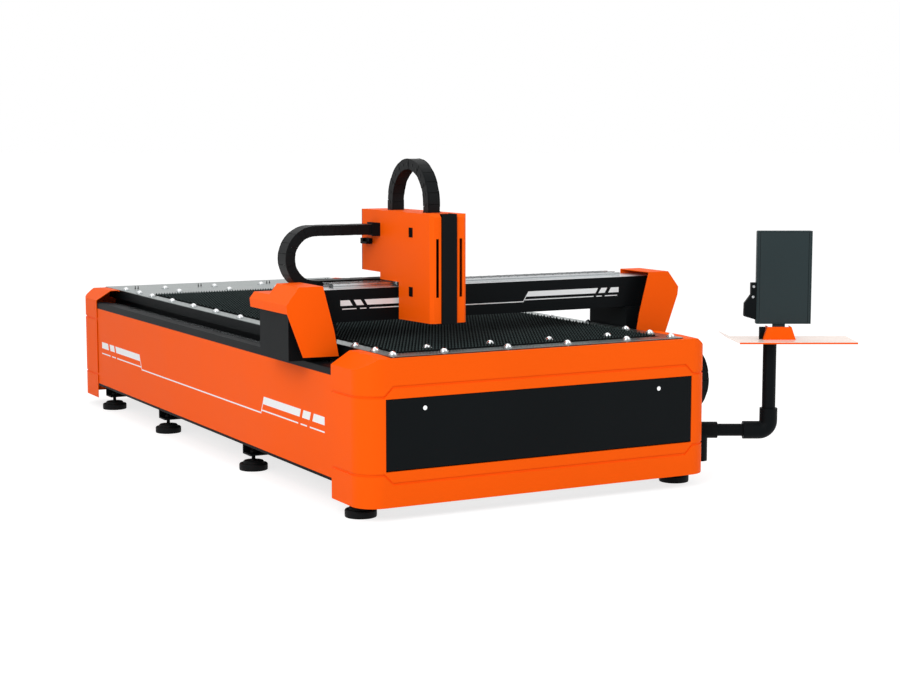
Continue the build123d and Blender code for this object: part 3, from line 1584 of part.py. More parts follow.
def arch_slots():
    """Room in the cover's roof for both legs of the arched chain."""
    half = ARCH_WIDTH / 2 + ARCH_ROOM
    reach = ARCH_THICKNESS / 2 + ARCH_ROOM
    low = CARRIAGE_TOP - CARRIAGE_SKIN - 1
    return group([
        plate(CARRIAGE_X - half, CARRIAGE_X + half, y - reach, y + reach, low, CARRIAGE_TOP + 1)
        for y in arch_leg_places()
    ])


def vent_slots():
    """Two upright slots in the cover's front, beside the band."""
    front = from_front(CARRIAGE_FRONT)
    width, height = VENT_SLOT
    low = VENT_SLOT_CENTRE_Z - height / 2
    places = [CARRIAGE_X + side * VENT_SLOT_OFFSET for side in (-1, 1)]
    half = width / 2
    depth = 2 * CARRIAGE_SKIN
    return group([plate(x - half, x + half, front - 1, front + depth, low, low + height) for x in places])


def side_windows():
    """Two windows through both sides of the cover."""
    y = from_front(SIDE_HOLE_Y)
    width, height = SIDE_HOLE
    return group([
        plate(
            CARRIAGE_LEFT - 1, CARRIAGE_RIGHT + 1,
            y - width / 2, y + width / 2,
            z - height / 2, z + height / 2,
        )
        for z in SIDE_HOLE_CENTRES
    ])


def carriage_back():
    """Black rear plate that closes the cover, with the seat of the arched chain."""
    rear = from_front(CARRIAGE_REAR)
    sheet_rear = rear + CARRIAGE_BACK_SHEET
    back = plate(CARRIAGE_LEFT, CARRIAGE_RIGHT, rear, sheet_rear, CARRIAGE_STEP_Z, CARRIAGE_TOP)
    return back + arch_seat()


def carriage_base():
    """Base plate on the rail blocks, with the upright plate in front of the beam."""
    half = CARRIAGE_WIDTH / 2 - CARRIAGE_SKIN - SEAT_GAP
    front = z_rail_front()
    rear = front + CARRIAGE_PLATE
    low = SCREW_BOTTOM - UPRIGHT_DROP
    top = BASE_PLATE_BOTTOM + CARRIAGE_PLATE
    tail = x_rail_places()[1] + BLOCK_WIDTH / 2
    section = [
        (front, low),
        (rear, low),
        (rear, BASE_PLATE_BOTTOM),
        (tail, BASE_PLATE_BOTTOM),
        (tail, top),
        (rear + GUSSET_RUN, top),
        (rear, top + GUSSET_RISE),
        (rear, SCREW_TOP + UPRIGHT_RISE),
        (front, SCREW_TOP + UPRIGHT_RISE),
    ]
    body = prism_x(section, CARRIAGE_X - half, CARRIAGE_X + half)
    place = (CARRIAGE_X, x_pinion_y(), BASE_PLATE_BOTTOM - 1)
    return body - rod(place, (0, 0, 1), PINION_SHAFT_RADIUS + SHAFT_HOLE_GAP, CARRIAGE_PLATE + 2)


def x_pinion_y():
    """Y of the carriage's drive pinion, in mesh with the rack on the beam."""
    return from_front(BEAM_FRONT) + X_RACK_OFFSET + PINION_RADIUS + MESH_GAP


def x_pinion():
    """Drive pinion of the carriage."""
    return gear(CARRIAGE_X, x_pinion_y(), BEAM_TOP + X_PINION_RISE, BASE_PLATE_BOTTOM + CARRIAGE_PLATE)


def x_motor():
    """Gearbox and servo motor of the carriage."""
    return motor_stack(CARRIAGE_X, x_pinion_y(), BASE_PLATE_BOTTOM + CARRIAGE_PLATE)


def x_blocks():
    """Four blocks that run on the rails of the beam."""
    base = BASE_PLATE_BOTTOM - BLOCK_HEIGHT
    half = BLOCK_WIDTH / 2
    slot = RAIL_WIDTH / 2 + SEAT_GAP
    slot_top = BEAM_TOP + RAIL_HEIGHT + SEAT_GAP
    blocks = []
    for y in x_rail_places():
        section = [
            (y - half, base),
            (y - slot, base),
            (y - slot, slot_top),
            (y + slot, slot_top),
            (y + slot, base),
            (y + half, base),
            (y + half, BASE_PLATE_BOTTOM),
            (y - half, BASE_PLATE_BOTTOM),
        ]
        for side in (-1, 1):
            x = CARRIAGE_X + side * X_BLOCK_SPACING / 2
            blocks.append(prism_x(section, x - X_BLOCK_LENGTH / 2, x + X_BLOCK_LENGTH / 2))
    return group(blocks)


def carriage_brackets():
    """Chain bracket and limit switch on the carriage's left side."""
    return group([x_chain_bracket(), limit_switch()])


def x_chain_bracket():
    """Bracket on the carriage's left side that holds the chain's moving end."""
    front = x_chain_side() - X_BRACKET_LAP
    rear = front + CHAIN_WIDTH_X + 2 * X_BRACKET_LAP
    low = X_CHAIN_BOTTOM + 2 * CHAIN_BEND_X - X_BRACKET_LAP
    high = low + CHAIN_THICKNESS + 2 * X_BRACKET_LAP
    end = x_chain_moving_end()
    body = plate(end, CARRIAGE_LEFT, front, rear, low, high)
    ear = plate(end - X_BRACKET_EAR, end, front, front + X_BRACKET_SHEET, low, high)
    return body + ear


def limit_switch():
    """Small stepped limit switch under the chain bracket."""
    y = from_front(SWITCH_Y)
    top = SWITCH_BOTTOM + SWITCH_HEIGHT
    body = plate(
        CARRIAGE_LEFT - SWITCH_REACH, CARRIAGE_LEFT,
        y - SWITCH_HALF_LENGTH, y + SWITCH_HALF_LENGTH,
        SWITCH_BOTTOM, top,
    )
    step = plate(
        CARRIAGE_LEFT - SWITCH_REACH - 1, CARRIAGE_LEFT - SWITCH_REACH + SWITCH_STEP_REACH,
        y - SWITCH_HALF_LENGTH - 1, y - SWITCH_HALF_LENGTH + SWITCH_STEP_LENGTH,
        top - SWITCH_STEP_HEIGHT, top + 1,
    )
    return body - step


# Lift of the cutting head

def z_rail_front():
    """Y of the upright plate's face, where the lift rails are seated."""
    return from_front(BEAM_FRONT - UPRIGHT_GAP) - CARRIAGE_PLATE


def z_rail_places():
    """X of the two lift rails."""
    return [CARRIAGE_X + side * Z_RAIL_SPACING / 2 for side in (-1, 1)]


def z_rails():
    """Two upright rails on the carriage's plate."""
    rear = z_rail_front()
    half = Z_RAIL_WIDTH / 2
    return group([
        plate(x - half, x + half, rear - Z_RAIL_DEPTH, rear, SCREW_BOTTOM, SCREW_TOP)
        for x in z_rail_places()
    ])


def z_screw():
    """Ball screw of the lift, with its collar on the lower bearing."""
    y = from_front(SCREW_Y)
    length = SCREW_TOP + 2 * SCREW_END - SCREW_BOTTOM + SCREW_END
    screw = rod((CARRIAGE_X, y, SCREW_BOTTOM - SCREW_END), (0, 0, 1), SCREW_RADIUS, length)
    collar_bottom = SCREW_BOTTOM + BEARING_HEIGHT
    collar = rod((CARRIAGE_X, y, collar_bottom), (0, 0, 1), SCREW_RADIUS + SCREW_COLLAR, SCREW_END)
    return screw + collar


def z_bearings():
    """Lower and upper bearing supports of the ball screw."""
    y = from_front(SCREW_Y)
    half = BEARING_WIDTH / 2
    supports = []
    for low in (SCREW_BOTTOM, SCREW_TOP - BEARING_HEIGHT):
        body = plate(
            CARRIAGE_X - half, CARRIAGE_X + half,
            y - BEARING_DEPTH, z_rail_front(),
            low, low + BEARING_HEIGHT,
        )
        bore = rod((CARRIAGE_X, y, low - 1), (0, 0, 1), SCREW_RADIUS + SEAT_GAP, BEARING_HEIGHT + 2)
        supports.append(body - bore)
    return group(supports)


def z_motor():
    """Lift motor on a bracket at the top of the upright plate."""
    y = from_front(SCREW_Y)
    low = SCREW_TOP + UPRIGHT_RISE
    front = y - Z_MOTOR_FRONT
    half = Z_MOTOR_SIDE / 2
    motor = plate(
        CARRIAGE_X - half, CARRIAGE_X + half,
        front, front + Z_MOTOR_SIDE,
        low, low + Z_MOTOR_LENGTH,
    )
    wide = Z_MOTOR_BRACKET_WIDTH / 2
    base = low - Z_MOTOR_BRACKET_HEIGHT
    bracket = plate(CARRIAGE_X - wide, CARRIAGE_X + wide, front, z_rail_front(), base, low)
    hole = rod((CARRIAGE_X, y, base - 1), (0, 0, 1), SCREW_RADIUS + RUN_GAP, 2 * Z_MOTOR_BRACKET_HEIGHT + 1)
    return motor + bracket - hole


def z_drive():
    """Lift rails, bearing supports and motor on the carriage."""
    return group([z_rails(), z_bearings(), z_motor()])


def z_blocks():
    """Four blocks of the slide plate, on the lift rails."""
    rear = z_rail_front()
    front = from_front(Z_PLATE_REAR)
    half = Z_BLOCK_WIDTH / 2
    slot = Z_RAIL_WIDTH / 2 + SEAT_GAP
    slot_floor = rear - Z_RAIL_DEPTH - SEAT_GAP
    blocks = []
    for x in z_rail_places():
        section = [
            (x - half, front),
            (x + half, front),
            (x + half, rear - Z_BLOCK_GAP),
            (x + slot, rear - Z_BLOCK_GAP),
            (x + slot, slot_floor),
            (x - slot, slot_floor),
            (x - slot, rear - Z_BLOCK_GAP),
            (x - half, rear - Z_BLOCK_GAP),
        ]
        for low in (Z_PLATE_BOTTOM + Z_BLOCK_INSET, Z_PLATE_TOP - Z_BLOCK_INSET - Z_BLOCK_HEIGHT):
            blocks.append(prism_z(section, low, low + Z_BLOCK_HEIGHT))
    return group(blocks)


def head_hole(low, high):
    """Clamp bore round the cutting head's body between two heights."""
    return rod((CARRIAGE_X, from_front(HEAD_Y), low), (0, 0, 1), HEAD_BODY_RADIUS + HEAD_SEAT_GAP, high - low)


def z_slide_plate():
    """Slide plate with the screw nut behind it, the head's arms and the arch's foot."""
    rear = from_front(Z_PLATE_REAR)
    front = rear - Z_PLATE_THICKNESS
    half = Z_RAIL_SPACING / 2 + Z_PLATE_MARGIN
    body = plate(CARRIAGE_X - half, CARRIAGE_X + half, front, rear, Z_PLATE_BOTTOM, Z_PLATE_TOP)
    nut_half = NUT_WIDTH / 2
    nut_top = Z_ARM_LOWER + NUT_HEIGHT
    nut = plate(
        CARRIAGE_X - nut_half, CARRIAGE_X + nut_half,
        rear, z_rail_front() - RUN_GAP,
        Z_ARM_LOWER, nut_top,
    )
    bore = rod(
        (CARRIAGE_X, from_front(SCREW_Y), Z_ARM_LOWER - 1), (0, 0, 1),
        SCREW_RADIUS + SEAT_GAP, NUT_HEIGHT + 2,
    )
    arm_half = Z_ARM_WIDTH / 2
    arm_front = from_front(HEAD_Y)
    arms = group([
        plate(CARRIAGE_X - arm_half, CARRIAGE_X + arm_half, arm_front, front, low, low + Z_ARM_THICKNESS)
        for low in (Z_ARM_LOWER, Z_ARM_UPPER)
    ])
    clamp = head_hole(Z_ARM_LOWER - 1, Z_ARM_UPPER + Z_ARM_THICKNESS + 1)
    post_half = Z_POST_WIDTH / 2
    post = plate(
        CARRIAGE_X - post_half, CARRIAGE_X + post_half,
        front - Z_POST_LAP, front,
        Z_PLATE_TOP - Z_POST_LAP, ARCH_FOOT - ARCH_POST_LAP,
    )
    foot_half = Z_FOOT_WIDTH / 2
    foot = plate(
        CARRIAGE_X - foot_half, CARRIAGE_X + foot_half,
        arch_leg_places()[0] - ARCH_THICKNESS / 2, front,
        ARCH_FOOT - ARCH_SEAT_THICKNESS, ARCH_FOOT,
    )
    return body + nut + arms + post + foot - bore - clamp


def cutting_head():
    """Turned cutting head: collimator, focus unit, lower cone and nozzle seat."""
    seat = HEAD_BOTTOM + NOZZLE_HEIGHT
    profile = [
        (0, seat),
        (NOZZLE_RADIUS, seat),
        (HEAD_CONE_RADIUS, seat + HEAD_CONE_RISE),
        (HEAD_FOCUS_RADIUS, HEAD_FOCUS_BOTTOM),
        (HEAD_FOCUS_RADIUS, HEAD_FOCUS_TOP),
        (HEAD_SHOULDER_RADIUS, HEAD_FOCUS_TOP + HEAD_BEVEL),
        (HEAD_SHOULDER_RADIUS, Z_ARM_LOWER - RUN_GAP),
        (HEAD_BODY_RADIUS, Z_ARM_LOWER - RUN_GAP / 4),
        (HEAD_BODY_RADIUS, HEAD_BODY_TOP),
        (HEAD_TOP_RADIUS, HEAD_BODY_TOP + HEAD_BEVEL),
        (HEAD_TOP_RADIUS, HEAD_TOP),
        (0, HEAD_TOP),
    ]
    return turned(profile, CARRIAGE_X, from_front(HEAD_Y))


def nozzle():
    """Copper nozzle with its bore."""
    profile = [
        (NOZZLE_BORE_RADIUS, HEAD_BOTTOM),
        (NOZZLE_TIP_RADIUS, HEAD_BOTTOM),
        (NOZZLE_RADIUS, HEAD_BOTTOM + NOZZLE_CONE_HEIGHT),
        (NOZZLE_RADIUS, HEAD_BOTTOM + NOZZLE_HEIGHT),
        (NOZZLE_BORE_RADIUS, HEAD_BOTTOM + NOZZLE_HEIGHT),
    ]
    return turned(profile, CARRIAGE_X, from_front(HEAD_Y))


def z_band():
    """Black front band of the lift: a folded channel open to the rear."""
    front = from_front(BAND_FRONT)
    rear = front + BAND_DEPTH
    left = CARRIAGE_X - BAND_HALF
    right = CARRIAGE_X + BAND_HALF
    fold = BAND_FOLD
    plan = [
        (left, rear),
        (left, front + fold),
        (left + fold, front),
        (right - fold, front),
        (right, front + fold),
        (right, rear),
        (right - SHEET, rear),
        (right - SHEET, front + fold),
        (right - fold, front + SHEET),
        (left + fold, front + SHEET),
        (left + SHEET, front + fold),
        (left + SHEET, rear),
    ]
    return prism_z(plan, BAND_BOTTOM, CARRIAGE_TOP)


def band_stay():
    """Bracket between the band's walls and the lift's upper arm."""
    front = from_front(BAND_FRONT + BAND_STAY_SETBACK)
    middle = from_front(HEAD_Y)
    rear = middle + BAND_STAY_FOOT
    left = CARRIAGE_X - BAND_HALF + SHEET
    right = CARRIAGE_X + BAND_HALF - SHEET
    seat = Z_ARM_UPPER + Z_ARM_THICKNESS
    low = seat + BAND_STAY_RISE
    high = low + BAND_STAY_THICKNESS
    body = plate(left, right, front, rear, low, high)
    foot = plate(left, right, middle, rear, seat, high)
    return body + foot - head_hole(seat - 1, high + 1)


def z_slide():
    """Slide plate with its arms, its rail blocks and the stay of the band."""
    return group([z_slide_plate(), z_blocks(), band_stay()])


def arch_leg_places():
    """Y of the arch's front and rear legs."""
    centre = from_front(ARCH_CENTRE_Y)
    return centre - ARCH_BEND, centre + ARCH_BEND


def z_chain():
    """Arched chain from the carriage over to the lift, with straight feet."""
    side = CARRIAGE_X - ARCH_WIDTH / 2
    centre = (side, from_front(ARCH_CENTRE_Y), ARCH_CENTRE_Z)
    arch = chain_bend(centre, (0, 0, 1), (0, 1, 0), (1, 0, 0), ARCH_BEND, ARCH_THICKNESS, ARCH_WIDTH)
    height = ARCH_CENTRE_Z - ARCH_FOOT
    for y in arch_leg_places():
        start = (side, y - ARCH_THICKNESS / 2, ARCH_FOOT)
        leg = chain_run(start, (0, 0, 1), (0, 1, 0), (1, 0, 0), height, ARCH_THICKNESS, ARCH_WIDTH)
        arch = arch + leg
    return arch


def arch_seat():
    """Bracket on the carriage's back plate under the arch's rear leg."""
    rear = from_front(CARRIAGE_REAR)
    leg = arch_leg_places()[1]
    half = ARCH_WIDTH / 2
    wall = ARCH_SEAT_THICKNESS
    shelf = plate(
        CARRIAGE_X - half, CARRIAGE_X + half,
        leg - ARCH_THICKNESS / 2, rear,
        ARCH_FOOT - wall, ARCH_FOOT,
    )
    flange_low = ARCH_FOOT - ARCH_SEAT_FLANGE
    flange = plate(CARRIAGE_X - half, CARRIAGE_X + half, rear - wall, rear, flange_low, ARCH_FOOT)
    return shelf + flange


# Operator console, drawn with its arm along +X and then turned about the pivot

def console_place(shape):
    """Moves a piece drawn from the pivot outwards to its place beside the bed."""
    return Pos(ARM_PIVOT_X, from_front(ARM_PIVOT_Y), 0) * Rot(0, 0, ARM_TURN) * shape


def arm_bracket():
    """Bracket on the front cap with the pivot barrel and its pin."""
    x = ARM_PIVOT_X
    y = from_front(ARM_PIVOT_Y)
    top = ARM_HEIGHT - SLEEVE_RADIUS
    barrel = rod((x, y, PIVOT_BOTTOM), (0, 0, 1), PIVOT_RADIUS, top - PIVOT_BOTTOM)
    half = PIVOT_ARM_THICKNESS / 2
    arm = plate(HALF_WIDTH, x, y - half, y + half, PIVOT_BOTTOM + PIVOT_ARM_RISE, top - PIVOT_ARM_DROP)
    pad_half = PIVOT_PAD_WIDTH / 2
    pad = plate(
        HALF_WIDTH, HALF_WIDTH + PIVOT_PAD_THICKNESS,
        y - pad_half, y + pad_half,
        PIVOT_BOTTOM, top - PIVOT_PAD_DROP,
    )
    pin = rod((x, y, top), (0, 0, 1), PIVOT_PIN_RADIUS, SLEEVE_RADIUS)
    return barrel + arm + pad + pin


def arm_sleeve():
    """Sleeve that turns on the pivot pin and holds the pipe."""
    start = -SLEEVE_RADIUS
    body = rod((start, 0, ARM_HEIGHT), (1, 0, 0), SLEEVE_RADIUS, SLEEVE_LENGTH + SLEEVE_RADIUS)
    hub = rod((0, 0, ARM_HEIGHT - SLEEVE_RADIUS), (0, 0, 1), PIVOT_RADIUS, SLEEVE_RADIUS)
    body = body + hub
    low = ARM_HEIGHT - SLEEVE_RADIUS - 1
    body = body - rod((0, 0, low), (0, 0, 1), PIVOT_PIN_RADIUS + SEAT_GAP, SLEEVE_RADIUS + 1 + SEAT_GAP)
    pipe_hole = rod((SLEEVE_LENGTH - PIPE_SOCKET, 0, ARM_HEIGHT), (1, 0, 0), PIPE_RADIUS, PIPE_SOCKET + 1)
    return console_place(body - pipe_hole)


def elbow_centre():
    """Distance from the pivot to the centre of the elbow's bend."""
    return ARM_REACH - ELBOW_BEND


def arm_pipe():
    """Level pipe welded into the swept elbow that takes the pole."""
    centre = elbow_centre()
    rise = ARM_HEIGHT + ELBOW_BEND
    start = SLEEVE_LENGTH - PIPE_SOCKET
    pipe = rod((start, 0, ARM_HEIGHT), (1, 0, 0), PIPE_RADIUS, centre - start)
    circle = Wire.make_circle(ELBOW_RADIUS, Plane(origin=(centre, 0, ARM_HEIGHT), z_dir=(1, 0, 0)))
    bend = Solid.revolve(Face(circle), 90, Axis((centre, 0, rise), (0, -1, 0)))
    inlet = rod((centre - ELBOW_INLET, 0, ARM_HEIGHT), (1, 0, 0), ELBOW_RADIUS, ELBOW_INLET)
    outlet = rod((ARM_REACH, 0, rise), (0, 0, 1), ELBOW_RADIUS, ELBOW_OUTLET)
    socket = rod((ARM_REACH, 0, pole_bottom()), (0, 0, 1), POLE_RADIUS + SEAT_GAP, ELBOW_OUTLET + ELBOW_BEND)
    return console_place(pipe + bend + inlet + outlet - socket)


def pole_bottom():
    """Height of the pole's lower end inside the elbow."""
    return ARM_HEIGHT + ELBOW_BEND + POLE_RISE


def console_pole():
    """Upright pole with the collar under the shelf."""
    low = pole_bottom()
    pole = rod((ARM_REACH, 0, low), (0, 0, 1), POLE_RADIUS, SHELF_BOTTOM - low)
    collar = rod((ARM_REACH, 0, SHELF_BOTTOM - COLLAR_HEIGHT), (0, 0, 1), COLLAR_RADIUS, COLLAR_HEIGHT)
    return console_place(pole + collar)


def console_shelf():
    """Thin keyboard shelf, folded up at its left end and hemmed in front."""
    left = ARM_REACH + SHELF_LEFT
    right = ARM_REACH + SHELF_RIGHT
    top = SHELF_BOTTOM + SHELF_SHEET
    section = [
        (left - SHELF_FOLD, SHELF_BOTTOM + SHELF_FOLD_RISE),
        (left, SHELF_BOTTOM),
        (right, SHELF_BOTTOM),
        (right, top),
        (left + 1, top),
        (left - SHELF_FOLD, top + SHELF_FOLD_RISE),
    ]
    sheet = prism_y(section, SHELF_FRONT, SHELF_REAR)
    hem_bottom = SHELF_BOTTOM - SHELF_HEM
    hem_rear = SHELF_FRONT + SHELF_SHEET
    hem = plate(left + SHELF_HEM_INSET, right, SHELF_FRONT, hem_rear, hem_bottom, SHELF_BOTTOM)
    return console_place(sheet + hem)


def stand_outline(inset):
    """Trapezoid of the monitor stand as (x, z) points."""
    left, right, top_left, top_right = STAND_SIDES
    bottom = SHELF_BOTTOM + SHELF_SHEET
    low = bottom + inset
    high = STAND_TOP + (1 if inset > 0 else 0)
    return [
        (ARM_REACH + left + inset, low),
        (ARM_REACH + right - inset, low),
        (ARM_REACH + top_right - inset, high),
        (ARM_REACH + top_left + inset, high),
    ]


def tilt_stand():
    """Folded stand with slanted cheeks and the pin on which the monitor tilts."""
    front = -STAND_DEPTH / 2
    rear = STAND_DEPTH / 2
    block = prism_y(stand_outline(0), front, rear)
    room = prism_y(stand_outline(STAND_SHEET), front + STAND_SHEET, rear + 1)
    _, _, top_left, top_right = STAND_SIDES
    pin = rod((ARM_REACH + top_left, 0, TILT_HEIGHT), (1, 0, 0), TILT_PIN_RADIUS, top_right - top_left)
    return console_place(block - room + pin)


def tilt_clamp():
    """Clamp knob that stands on the shelf beside the stand."""
    left = ARM_REACH + STAND_SIDES[0]
    low = SHELF_BOTTOM + SHELF_SHEET
    high = STAND_TOP - CLAMP_DROP
    outline = [
        (left - CLAMP_REACH, low),
        (left, low),
        (left + CLAMP_REACH, high),
        (left - CLAMP_REACH, high),
    ]
    return console_place(prism_y(outline, -CLAMP_WIDTH / 2, CLAMP_WIDTH / 2))


def monitor_stand():
    """Stand of the monitor with its clamp."""
    return group([tilt_stand(), tilt_clamp()])


def monitor_case():
    """Portrait monitor case with a shallow screen recess and its tilt lug."""
    x = ARM_REACH + MONITOR_OFFSET
    half = MONITOR_WIDTH / 2
    depth = MONITOR_DEPTH / 2
    block = plate(x - half, x + half, -depth, depth, MONITOR_BOTTOM, MONITOR_BOTTOM + MONITOR_HEIGHT)
    block = fillet(block.edges().filter_by(Axis.Y), MONITOR_CORNER)
    border = SCREEN_BORDER
    recess = plate(
        x - half + border, x + half - border,
        -depth - 1, -depth + SCREEN_THICKNESS,
        MONITOR_BOTTOM + border, MONITOR_BOTTOM + MONITOR_HEIGHT - border,
    )
    middle = ARM_REACH + (STAND_SIDES[2] + STAND_SIDES[3]) / 2
    lug = plate(
        middle - LUG_HALF_WIDTH, middle + LUG_HALF_WIDTH,
        -LUG_HALF_DEPTH, LUG_HALF_DEPTH,
        TILT_HEIGHT - LUG_HALF_DEPTH, MONITOR_BOTTOM,
    )
    bore_start = (middle - LUG_HALF_WIDTH - 1, 0, TILT_HEIGHT)
    bore = rod(bore_start, (1, 0, 0), TILT_PIN_RADIUS + SEAT_GAP, 2 * LUG_HALF_WIDTH + 2)
    return console_place(block + lug - recess - bore)


def monitor_screen():
    """Flat glass in the recess of the monitor case."""
    x = ARM_REACH + MONITOR_OFFSET
    half = MONITOR_WIDTH / 2 - SCREEN_BORDER
    front = -MONITOR_DEPTH / 2
    low = MONITOR_BOTTOM + SCREEN_BORDER
    high = MONITOR_BOTTOM + MONITOR_HEIGHT - SCREEN_BORDER
    return console_place(plate(x - half, x + half, front, front + SCREEN_THICKNESS, low, high))


def remote_holder():
    """Holder of the hand remote on the monitor's left side."""
    side = ARM_REACH + MONITOR_OFFSET - MONITOR_WIDTH / 2
    outline = [
        (side, MONITOR_BOTTOM + HOLDER_BOTTOM),
        (side, MONITOR_BOTTOM + HOLDER_TOP),
        (side - HOLDER_UPPER_REACH, MONITOR_BOTTOM + HOLDER_TOP),
        (side - HOLDER_UPPER_REACH, MONITOR_BOTTOM + HOLDER_NECK),
        (side - HOLDER_LOWER_REACH, MONITOR_BOTTOM + HOLDER_WAIST),
        (side - HOLDER_LOWER_REACH, MONITOR_BOTTOM + HOLDER_FOOT),
    ]
    return console_place(prism_y(outline, -HOLDER_FRONT, HOLDER_REAR))


def monitor():
    """Monitor with its screen and the holder of the hand remote."""
    return group([monitor_case(), monitor_screen(), remote_holder()])


SUBPARTS = (
    bed_frame, levelling_feet, foot_brackets, front_cap, rear_cap, side_panels,
    front_door, door_hinge_pins, door_lock_left, door_lock_right,
    rail_covers, rail_ledges, guide_rails, racks,
    table_plates, table_supports, support_slats, ball_cups, transfer_balls, slag_drawers,
    y_chain_trough, y_chain_lower, y_chain_bend, y_chain_upper, y_chain_bracket,
    gantry_beam, beam_skin, x_rails, x_rack, gantry_ends, end_housings, cable_tray,
    y_motors, y_blocks, pinion_left, pinion_right,
    x_chain_lower, x_chain_bend, x_chain_upper,
    carriage_cover, carriage_back, carriage_base, carriage_brackets,
    x_blocks, x_motor, x_pinion,
    z_drive, z_screw, z_chain, z_slide, z_band, cutting_head, nozzle,
    arm_bracket, arm_sleeve, arm_pipe, console_pole, console_shelf, monitor_stand, monitor,
)


def main():
    """Write every sub-part to its own file, named as its function."""
    os.makedirs("parts", exist_ok=True)
    for make in SUBPARTS:
        export_step(make(), f"parts/{make.__name__}.step")


main()
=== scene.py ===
import json
import logging
import math
from collections.abc import Callable, Iterable
from dataclasses import dataclass, field
from enum import Enum

import bmesh
import bpy
from mathutils import Euler, Matrix, Vector
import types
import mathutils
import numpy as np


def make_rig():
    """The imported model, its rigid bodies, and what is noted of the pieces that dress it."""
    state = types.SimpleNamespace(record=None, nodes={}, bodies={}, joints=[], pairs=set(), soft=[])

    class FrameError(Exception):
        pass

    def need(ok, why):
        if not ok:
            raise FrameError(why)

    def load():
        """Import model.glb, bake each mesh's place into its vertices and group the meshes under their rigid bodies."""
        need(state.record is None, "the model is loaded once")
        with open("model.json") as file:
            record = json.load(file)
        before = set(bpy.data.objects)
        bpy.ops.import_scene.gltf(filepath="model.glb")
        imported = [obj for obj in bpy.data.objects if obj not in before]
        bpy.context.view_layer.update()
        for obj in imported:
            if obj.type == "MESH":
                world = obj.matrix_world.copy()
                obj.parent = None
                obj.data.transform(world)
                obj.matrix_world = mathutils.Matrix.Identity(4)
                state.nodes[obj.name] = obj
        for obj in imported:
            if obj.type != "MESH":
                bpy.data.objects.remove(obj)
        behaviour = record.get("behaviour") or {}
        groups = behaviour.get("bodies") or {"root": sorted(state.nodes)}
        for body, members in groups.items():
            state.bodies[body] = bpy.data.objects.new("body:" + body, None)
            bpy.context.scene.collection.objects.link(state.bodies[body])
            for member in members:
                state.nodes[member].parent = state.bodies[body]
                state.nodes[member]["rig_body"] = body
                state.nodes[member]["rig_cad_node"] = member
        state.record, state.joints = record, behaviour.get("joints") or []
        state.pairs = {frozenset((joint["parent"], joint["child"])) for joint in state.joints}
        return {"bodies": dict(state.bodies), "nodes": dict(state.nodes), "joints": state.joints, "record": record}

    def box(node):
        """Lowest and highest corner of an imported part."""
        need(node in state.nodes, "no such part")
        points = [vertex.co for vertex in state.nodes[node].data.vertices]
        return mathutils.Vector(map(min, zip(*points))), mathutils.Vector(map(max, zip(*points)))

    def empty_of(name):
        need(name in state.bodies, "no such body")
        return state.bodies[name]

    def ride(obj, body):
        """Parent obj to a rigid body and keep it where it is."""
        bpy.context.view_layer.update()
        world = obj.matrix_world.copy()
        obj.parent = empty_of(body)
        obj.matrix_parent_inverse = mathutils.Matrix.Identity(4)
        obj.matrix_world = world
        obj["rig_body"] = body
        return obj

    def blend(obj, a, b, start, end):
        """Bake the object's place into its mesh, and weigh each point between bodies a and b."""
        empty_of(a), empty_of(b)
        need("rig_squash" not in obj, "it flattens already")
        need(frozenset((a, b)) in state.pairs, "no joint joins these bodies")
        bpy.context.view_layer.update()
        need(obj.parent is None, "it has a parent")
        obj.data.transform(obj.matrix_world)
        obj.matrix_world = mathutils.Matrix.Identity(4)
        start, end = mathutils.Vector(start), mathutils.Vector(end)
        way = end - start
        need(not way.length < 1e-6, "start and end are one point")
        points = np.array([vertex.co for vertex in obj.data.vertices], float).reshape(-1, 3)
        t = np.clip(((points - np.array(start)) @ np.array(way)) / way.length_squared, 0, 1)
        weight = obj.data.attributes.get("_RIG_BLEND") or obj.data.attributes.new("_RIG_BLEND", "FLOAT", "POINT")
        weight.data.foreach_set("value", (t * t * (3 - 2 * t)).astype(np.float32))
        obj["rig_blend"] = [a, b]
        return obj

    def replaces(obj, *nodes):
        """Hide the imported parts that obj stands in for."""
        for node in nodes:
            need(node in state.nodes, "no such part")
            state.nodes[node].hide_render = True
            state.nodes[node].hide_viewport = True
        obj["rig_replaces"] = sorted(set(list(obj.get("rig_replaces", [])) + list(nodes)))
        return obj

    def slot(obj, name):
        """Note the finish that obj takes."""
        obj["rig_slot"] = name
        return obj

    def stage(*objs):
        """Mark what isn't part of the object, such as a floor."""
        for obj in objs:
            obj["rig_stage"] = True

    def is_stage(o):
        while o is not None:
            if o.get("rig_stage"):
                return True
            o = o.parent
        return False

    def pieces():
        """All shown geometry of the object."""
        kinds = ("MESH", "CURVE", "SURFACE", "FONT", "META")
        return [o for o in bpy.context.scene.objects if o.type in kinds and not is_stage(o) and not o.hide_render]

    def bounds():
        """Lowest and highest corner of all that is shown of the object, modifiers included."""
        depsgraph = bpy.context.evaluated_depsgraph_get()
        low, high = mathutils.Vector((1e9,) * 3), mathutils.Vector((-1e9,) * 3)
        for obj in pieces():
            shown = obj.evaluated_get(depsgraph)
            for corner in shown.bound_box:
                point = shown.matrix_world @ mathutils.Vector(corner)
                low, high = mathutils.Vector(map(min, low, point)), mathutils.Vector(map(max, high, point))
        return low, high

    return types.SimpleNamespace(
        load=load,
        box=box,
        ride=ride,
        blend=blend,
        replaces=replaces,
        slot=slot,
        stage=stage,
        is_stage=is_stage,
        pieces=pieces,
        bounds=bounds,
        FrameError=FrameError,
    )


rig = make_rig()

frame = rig.load()
size_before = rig.bounds()

log = logging.getLogger("laser_cutter")

Point = tuple[float, float, float]
Flat = tuple[float, float]

